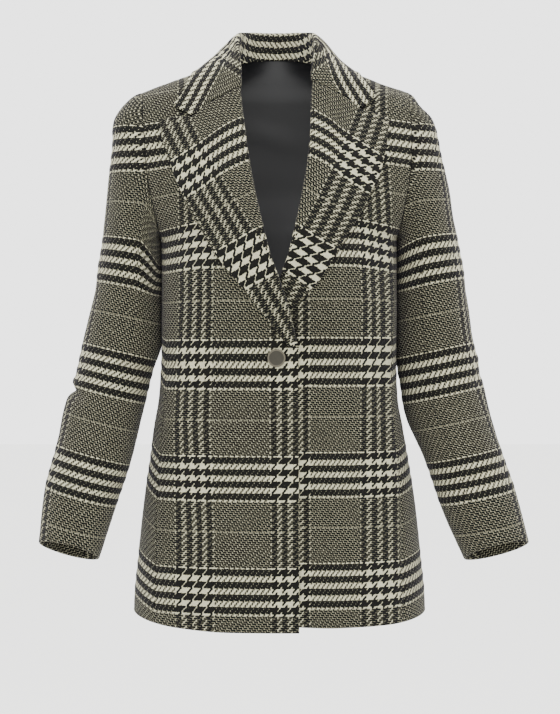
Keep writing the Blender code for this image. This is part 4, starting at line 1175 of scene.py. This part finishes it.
def lapelCheck(sideName, across, heights):
    knots = []
    for band in ("lower", "upper"):
        top = onLines(across, lapelShape[band + "Band"][sideName])
        knots += [top - step for step in lapelShape[band + "Steps"]]
    weft = straightParts(heights, np.stack(knots, -1), groupKnots(2))
    first = onLines(heights, lapelShape["warpLine"][sideName])
    step = onLines(heights, lapelShape["warpStep"][sideName]) / (2 * check["stripe"])
    return darkCentres[0] + (across - first) / step, weft


def rollPoints(side, point, normal, pressed):
    # the roll as a smooth curve through its section, which ends where the flat starts
    outward = unit(np.cross(np.gradient(point, axis=0), normal)) * side
    section = np.array(lapelShape["roll"])
    run = np.concatenate([[0], np.cumsum(np.hypot(*np.diff(section, axis=0).T))])
    steps = lapelShape["rollSteps"]
    places = np.concatenate([steps[:-1], np.linspace(steps[-1], run[-1], lapelShape["rollRows"])])[:-1]
    columns = []
    for place in places:
        past, off = smoothCurve(run, section[:, 0], place), smoothCurve(run, section[:, 1], place)
        press = pressed[:, None] if off > 1 else 1.0
        columns.append(point + outward * past + normal * off * press)
    return np.stack(columns)


def makeLapel(sideName, side):
    up, across = spread(lapelShape["length"])[None, :], spread(lapelShape["width"])[:, None]
    distance, height = lapelOutline(sideName, across, up)
    point, normal = frontFace(sideName, distance, height)
    pressed = np.ones_like(height)
    if sideName == "left":
        rightEdge = -lookUp(frontShape["edge"], 1, height)
        covered = np.clip((rightEdge + lapelShape["lapCover"] - distance) / lapelShape["lapFade"], 0, 1)
        pressed = 1 - lapelShape["lapPress"] * covered
    lift = lookUp(lapelShape["lift"], 1, across) * pressed
    roll = rollPoints(side, point[0], normal[0], pressed[0])
    points = settle(np.concatenate([roll, point + normal * lift[..., None]]))
    rollNormal, count = normal[0], len(roll)
    normal = findNormals(points)
    normal = np.where(np.sum(normal * rollNormal, axis=-1, keepdims=True) < 0, -normal, normal)
    # near the roll's free end the cloth faces the neck, so its normals are turned with the section
    for i in range(count - 1, -1, -1):
        flip = np.sum(normal[i] * normal[i + 1], axis=-1, keepdims=True) < 0
        normal[i] = np.where(flip, -normal[i], normal[i])
    # the check follows the view from in front, and over the roll the cloth's own length
    seen = np.stack(inFront(points[count:]), -1)
    back = np.linalg.norm(points[:count] - points[count], axis=-1) / lapelShape["rollStretch"]
    onRoll = seen[0] + unit(seen[0] - seen[lapelShape["inwardRow"]]) * back[..., None]
    weave = lapelCheck(sideName, *np.moveaxis(np.concatenate([onRoll, seen]), -1, 0))
    clothPiece("lapel_" + sideName, points, normal, weave, ("free",) * 4, relief=cloth["flatRelief"])


for sideName, side in sideSigns.items():
    makeLapel(sideName, side)
print("lapels made")

collarShape = {
    # station, foot of the stand, middle of the fold, its radius, way that the fall faces, outer edge
    "stations": (
        (0, 0, 58.5, 36, 0, 64, 73, 3.8, 0, 1, 0, 0, 77, 30),
        (1, 28.5, 48.5, 33, 32, 53, 72, 3.8, 0.5, 0.86, 0, 40, 67, 27),
        (2, 50, 29.5, 27, 50, 27, 67, 3.8, 0.87, 0.5, 0, 80, 43, 20),
        (3, 62.5, 0, 20, 55.5, -2, 58, 3.8, 1, 0, 0.1, 111, 2, 13),
        (4, 58, -29, 14, 55.6, -29, 33, 4.2, 0.95, -0.3, 0.15, 121, -38, -2),
    ),
    "lastStation": 6,
    "mirrored": (0, 1, 4, 8, 11),  # the columns that change sign at the right side
    "leaning": (1, 4, 11),  # and those that are distances across
    # the last two sections wrap the front's edge: station, height by side, rise, outer edge
    "wraps": ((5, 3, 3, 3.5, 131, -53, -20), (6, -18.3, -10.3, 0.5, 0, 0, 0)),
    "wrapRadius": 5.2,
    "wrapFoot": 4.0,
    "wrapReach": 2.0,  # the edge's way is taken over this much of it, up and down
    # the end seam: share, distance and height
    "end": {
        "right": (
            (0.0, 53.5, -21), (0.25, 73.5, -33.5), (0.5, 95.5, -44.5), (0.74, 113.5, -61.5),
            (0.87, 127, -54.5), (1.0, 142, -44.7),
        ),
        "left": (
            (0.0, 53.5, -12.5), (0.25, 74, -25), (0.5, 95.5, -36), (0.74, 112.5, -50.5),
            (0.87, 123, -43.5), (1.0, 136, -32.4),
        ),
    },
    "endFade": 1.5,
    "gorgeGap": 1.0,
    "foldTurns": (180, 30),
    "foldRows": 8,
    "length": 430,
    "stand": 34,
    "fall": 80,
    # how the fall leaves the fold, straight on and forward, and how it meets its edge, in its lengths
    "fallPulls": (0.7, 0.3, 0.9),
    "clearance": 3.9,
    "pushes": 4,
    "pushMost": 6.0,
    "guideRow": -12,  # a row in the middle of the fall
    # the check as seen from in front: height, and place across of each dark stripe's middle
    "stripes": {
        "right": (
            (-45.0, -147.7, -132.3, -118.3), (-24.0, -134.4, -119.7, -106.4), (-3.0, -122.1, -109.2, -95.9),
            (11.0, -113.4, -99.4, -87.5), (25.0, -101.5, -91.7, -80.5), (39.0, -84.7, -75.6, -69.3),
            (50.2, -73.5, -67.9, -63.0), (64.2, -60.9, -57.4, -55.3),
        ),
        "left": (
            (-38.0, 133.7, 116.9, 101.5), (-17.0, 119.7, 103.6, 89.6), (-3.0, 109.9, 95.2, 81.2),
            (11.0, 101.5, 88.2, 75.6), (25.0, 91.7, 81.9, 70.7), (39.0, 81.2, 74.9, 65.8),
            (50.2, 70.7, 67.2, 62.3), (64.2, 53.9, 51.8, 49.7),
        ),
    },
    "stripesFrom": 2.6,  # from this station on, over one station, the check follows them
    "weftAtBackEdge": -14.0,
    "warpAtEnd": {"right": 19.5, "left": 167.5},
    # from this station on the warp crosses the stripes squarely; the way they run in that view
    "squareFrom": 3.1,
    "stripeWay": (0.54, -0.84),
}


def wrapSection(sideName, wrap):
    # one row of the collar's table, where its stand wraps the front's edge
    side = sideSigns[sideName]
    level = wrap[1] if sideName == "right" else wrap[2]
    levels = level + np.array([-1, 0, 1]) * collarShape["wrapReach"]
    points, normals = frontFace(sideName, lookUp(frontShape["edge"], 1, levels), levels)
    normal = normals[1]
    overEdge = -unit(np.cross(points[2] - points[0], normal)) * side
    middle = points[1] - normal * cloth["thickness"] / 2
    fold = middle + overEdge * wrap[3]
    foot = middle - normal * collarShape["wrapRadius"] - overEdge * collarShape["wrapFoot"]
    edge = np.array(wrap[4:], dtype=float) * (side, 1, 1)
    if wrap is collarShape["wraps"][-1]:
        _, distance, height = collarShape["end"][sideName][-1]
        tip, tipNormal = frontFace(sideName, np.array(float(distance)), np.array(float(height)))
        edge = tip + tipNormal * lapelShape["lift"][-1, 1]
    return (side * wrap[0], *foot, *fold, collarShape["wrapRadius"], *normal, *edge)


def collarSections():
    # foot, fold, radius, face and edge at each station, from the right end to the left one
    lean = float(ringSize("lean", bodyForm["neckPoint"]))
    table = []
    for sideName, side in sideSigns.items():
        table += [wrapSection(sideName, wrap) for wrap in collarShape["wraps"]]
        for row in collarShape["stations"]:
            if row[0] > 0 or side > 0:
                row = [side * v if i in collarShape["mirrored"] else v for i, v in enumerate(row)]
                table.append([v + lean if i in collarShape["leaning"] else v for i, v in enumerate(row)])
    table = rising(table)
    stations = collarShape["lastStation"] * (2 * spread(collarShape["length"]) - 1)
    values = np.stack([lookUp(table, i, stations) for i in range(1, table.shape[1])], -1)
    return stations, np.split(values, (3, 6, 7, 10), axis=-1)


def collarFall(stations, top, edge, face, shares):
    straight, forward, last = collarShape["fallPulls"]
    pull = (edge - top) * straight + face * np.linalg.norm(edge - top, axis=-1, keepdims=True) * forward
    fall = np.stack([hermite(top, pull, edge, (edge - top) * last, t) for t in shares], axis=1)
    fade = collarShape["endFade"]
    for sideName, side in sideSigns.items():
        path = np.array(collarShape["end"][sideName], dtype=float)
        distance, height = [np.interp(shares, path[:, 0], path[:, i]) for i in (1, 2)]
        point, normal = frontFace(sideName, distance, height + collarShape["gorgeGap"])
        line = point + normal * lookUp(lapelShape["lift"], 1, shares)[..., None]
        weight = np.clip(side * stations - (collarShape["lastStation"] - fade), 0, fade) / fade
        fall = fall + (weight**2)[:, None, None] * (line - fall[-1 if side > 0 else 0])[None]
    # what lies too close to the fronts is pushed off them, a few times because they curve
    for _ in range(collarShape["pushes"]):
        off, way = bodyDistance(fall)
        fall = fall + way * np.clip(collarShape["clearance"] - off, 0, collarShape["pushMost"])[..., None]
    return fall


def collarWeave(stations, points, apexRow):
    # by the cloth's own length round the back, and as seen from in front at both ends
    guide = collarShape["guideRow"]
    fromEdge = edgeRuns(points, 1)[1]
    weft = collarShape["weftAtBackEdge"] + fromEdge / cloth["weftPitch"]
    run = arcLengths(points, 0)
    run = (run + run[:, guide][:, None]) / 2
    ends = collarShape["warpAtEnd"]
    warp = ends["right"] + (ends["left"] - ends["right"]) * run / run[-1:]
    across, heights = inFront(points)
    wayAcross, wayUp = collarShape["stripeWay"]
    for sideName, side in sideSigns.items():
        table = rising(collarShape["stripes"][sideName])
        knots = [-side * np.interp(heights, table[:, 0], table[:, i]) for i in (1, 2, 3)]
        seen = straightParts(-side * across, np.stack(knots, -1), darkCentres[1:])
        share = smoothStep(np.clip(side * stations - collarShape["stripesFrom"], 0, 1))[:, None]
        # over the fold and down the stand the cloth's own length counts
        apex = [part[:, apexRow : apexRow + 1] for part in (seen, fromEdge)]
        seen[:, :apexRow] = (apex[0] + (fromEdge - apex[1]) / cloth["weftPitch"])[:, :apexRow]
        weft = weft * (1 - share) + seen * share
        along = (side * across * wayAcross + heights * wayUp) / cloth["warpPitch"]
        start = np.argmin(np.abs(stations - side * collarShape["squareFrom"]))
        square = warp[start, guide] + side * (along - along[start, guide])
        square[:, :apexRow] = square[:, apexRow : apexRow + 1]
        warp = warp * (1 - share) + square * share
    return warp, weft


def makeCollar():
    stations, (foot, fold, radius, face, edge) = collarSections()
    along = unit(np.gradient(fold, stations, axis=0))
    face = unit(face - along * np.sum(face * along, axis=-1, keepdims=True))
    apex = np.cross(along, face)
    stand = spread(collarShape["stand"])
    rows = [foot + (fold - face * radius - foot) * t for t in stand[stand < 0.9]]
    for swing in np.radians(np.linspace(*collarShape["foldTurns"], collarShape["foldRows"])):
        rows.append(fold + radius * (face * math.cos(swing) + apex * math.sin(swing)))
    # the fold already has the first steps of the fall
    shares = spread(collarShape["fall"])[4:]
    shares = (shares - shares[0] / 2) / (1 - shares[0] / 2)
    fall = collarFall(stations, rows[-1], edge, face, shares)
    points = settle(np.concatenate([np.stack(rows, axis=1), fall], axis=1))
    normal = findNormals(points)
    if normal[len(stations) // 2, collarShape["guideRow"], 1] < 0:
        normal = -normal
    weave = collarWeave(stations, points, len(rows) - 1)
    clothPiece("collar", points, normal, weave, ("free",) * 4, relief=cloth["flatRelief"])


makeCollar()
print("collar made")

# A button of polished horn, turned from a slice: dark, a little streaked and flat, with a low rim
# that is coloured paler.
button = {
    # radius and distance off the cloth
    "profile": (
        (0, 4.35), (3.0, 4.38), (7.0, 4.5), (9.0, 4.62), (9.5, 4.75), (10.0, 5.12), (10.5, 5.3),
        (11.3, 5.28), (11.9, 4.95), (12.1, 4.4), (12.05, 3.5), (11.6, 2.8), (10.6, 2.35), (4.3, 2.0),
        (3.7, 1.2), (3.6, 0.4), (0, 0.4),
    ),
    "height": -389.0,
    "distance": 3.0,
    "sides": 72,
    "surface": {"Roughness": 0.5, "IOR": 1.5, "Specular IOR Level": 0.22},
    "colour": "#1f1d16",
    "streak": "#29261d",
    "streakLength": 6.25,
    "rim": "#474337",
    "rimRadii": (10.6, 11.8),
}


def makeHorn(centre):
    material, tree, shader = newMaterial("polishedHorn", button["surface"])
    place = addNode(tree, "TexCoord", {}, "Object")
    apart = addNode(tree, "VectorMath", {0: place, 1: centre}, "Value", operation="DISTANCE")
    inner, outer = [radius * mm for radius in button["rimRadii"]]
    onRim = addNode(tree, "MapRange", {"Value": apart, 1: inner, 2: outer, 3: 0.0, 4: 1.0})
    scale = 1 / (button["streakLength"] * mm)
    grain = addNode(tree, "TexNoise", {"Vector": place, "Scale": scale, "Detail": 4.0})
    shades = {0: grain, 6: hexColour(button["colour"]), 7: hexColour(button["streak"])}
    body = addNode(tree, "Mix", shades, 2, data_type="RGBA")
    colour = addNode(tree, "Mix", {0: onRim, 6: body, 7: hexColour(button["rim"])}, 2, data_type="RGBA")
    tree.links.new(colour, shader.inputs["Base Color"])
    return material


def makeButton():
    point, normal = frontFace("right", np.array(button["distance"]), np.array(button["height"]))
    sideways = unit(np.cross(normal, np.array([0.0, 0.0, 1.0])))
    upwards = np.cross(sideways, normal)
    radii, off = np.array(button["profile"]).T
    turns = np.linspace(0, 2 * math.pi, button["sides"], endpoint=False)
    ways = sideways * np.cos(turns)[:, None] + upwards * np.sin(turns)[:, None]
    rings = point + normal * off[1:-1, None, None] + ways * radii[1:-1, None, None]
    ends = [point + normal * off[0], point + normal * off[-1]]
    index = np.arange(rings[..., 0].size).reshape(rings.shape[:2])
    following = np.roll(index, -1, axis=1)
    faces = np.stack([index[:-1], index[1:], following[1:], following[:-1]], -1).reshape(-1, 4).tolist()
    faces += [[index.size, int(a), int(b)] for a, b in zip(index[0], following[0])]
    faces += [[index.size + 1, int(b), int(a)] for a, b in zip(index[-1], following[-1])]
    mesh = bpy.data.meshes.new("button_horn")
    mesh.from_pydata((np.concatenate([rings.reshape(-1, 3), ends]) * mm).tolist(), [], faces)
    mesh.update()
    if mesh.polygons[-1].normal.dot(normal.tolist()) > 0:
        mesh.flip_normals()
    mesh.shade_smooth()
    mesh.materials.append(makeHorn(tuple(float(v) * mm for v in point)))
    addPiece(mesh, "button")


makeButton()
print("button made")

# A pale painted floor and a white room, with three soft lamps that look at the jacket's middle.
# Places and sizes here are in metres, and the lens in millimetres.
studio = {
    "floorLevel": -1.45,
    "floorSize": 40.0,
    "floor": "#f4f4f2",
    "floorPatch": "#f1f1ef",
    "patchSize": 1.43,
    "floorSurface": {"Roughness": 0.9, "Specular IOR Level": 0.2},
    "air": "#ffffff",
    "airStrength": 3.0,
    "lamps": (
        ("keyLight", (-1.2, -3.0, 1.5), 2.2, 36.0),
        ("fillLight", (1.9, -2.8, 0.4), 2.4, 11.0),
        ("topLight", (0.1, -0.5, 1.6), 1.6, 58.0),
    ),
    "aim": (0, 0, -0.38),
    "lens": 93.6,
    "sensor": 36.0,
    "cameraAcross": 0.0007,
}


def makeFloor():
    bpy.ops.mesh.primitive_plane_add(size=studio["floorSize"], location=(0, 0, studio["floorLevel"]))
    floor = bpy.context.object
    floor.name = "floor"
    material, tree, shader = newMaterial("paintedFloor", studio["floorSurface"])
    place = addNode(tree, "TexCoord", {}, "Object")
    soft = addNode(tree, "TexNoise", {"Vector": place, "Scale": 1 / studio["patchSize"]})
    shades = {0: soft, 6: hexColour(studio["floor"]), 7: hexColour(studio["floorPatch"])}
    tree.links.new(addNode(tree, "Mix", shades, 2, data_type="RGBA"), shader.inputs["Base Color"])
    floor.data.materials.append(material)


def makeLight():
    world = bpy.data.worlds.new("studioAir")
    world.use_nodes = True
    background = world.node_tree.nodes["Background"]
    background.inputs["Color"].default_value = hexColour(studio["air"])
    background.inputs["Strength"].default_value = studio["airStrength"]
    bpy.context.scene.world = world
    for name, place, size, power in studio["lamps"]:
        light = bpy.data.lights.new(name, "AREA")
        light.size = size
        light.energy = power
        lamp = bpy.data.objects.new(name, light)
        lamp.location = place
        x, y, z = np.array(studio["aim"]) - np.array(place)
        lamp.rotation_euler = (math.atan2(math.hypot(x, y), -z), 0, math.atan2(y, x) - math.pi / 2)
        bpy.context.scene.collection.objects.link(lamp)


def makeCamera():
    lens = bpy.data.cameras.new("studioCamera")
    lens.lens = studio["lens"]
    lens.sensor_width = studio["sensor"]
    camera = bpy.data.objects.new("studioCamera", lens)
    camera.location = (studio["cameraAcross"], -frontView["distance"] * mm, frontView["level"] * mm)
    camera.rotation_euler = (math.pi / 2, 0, 0)
    bpy.context.scene.collection.objects.link(camera)
    bpy.context.scene.camera = camera


makeFloor()
makeLight()
makeCamera()
print("studio ready")
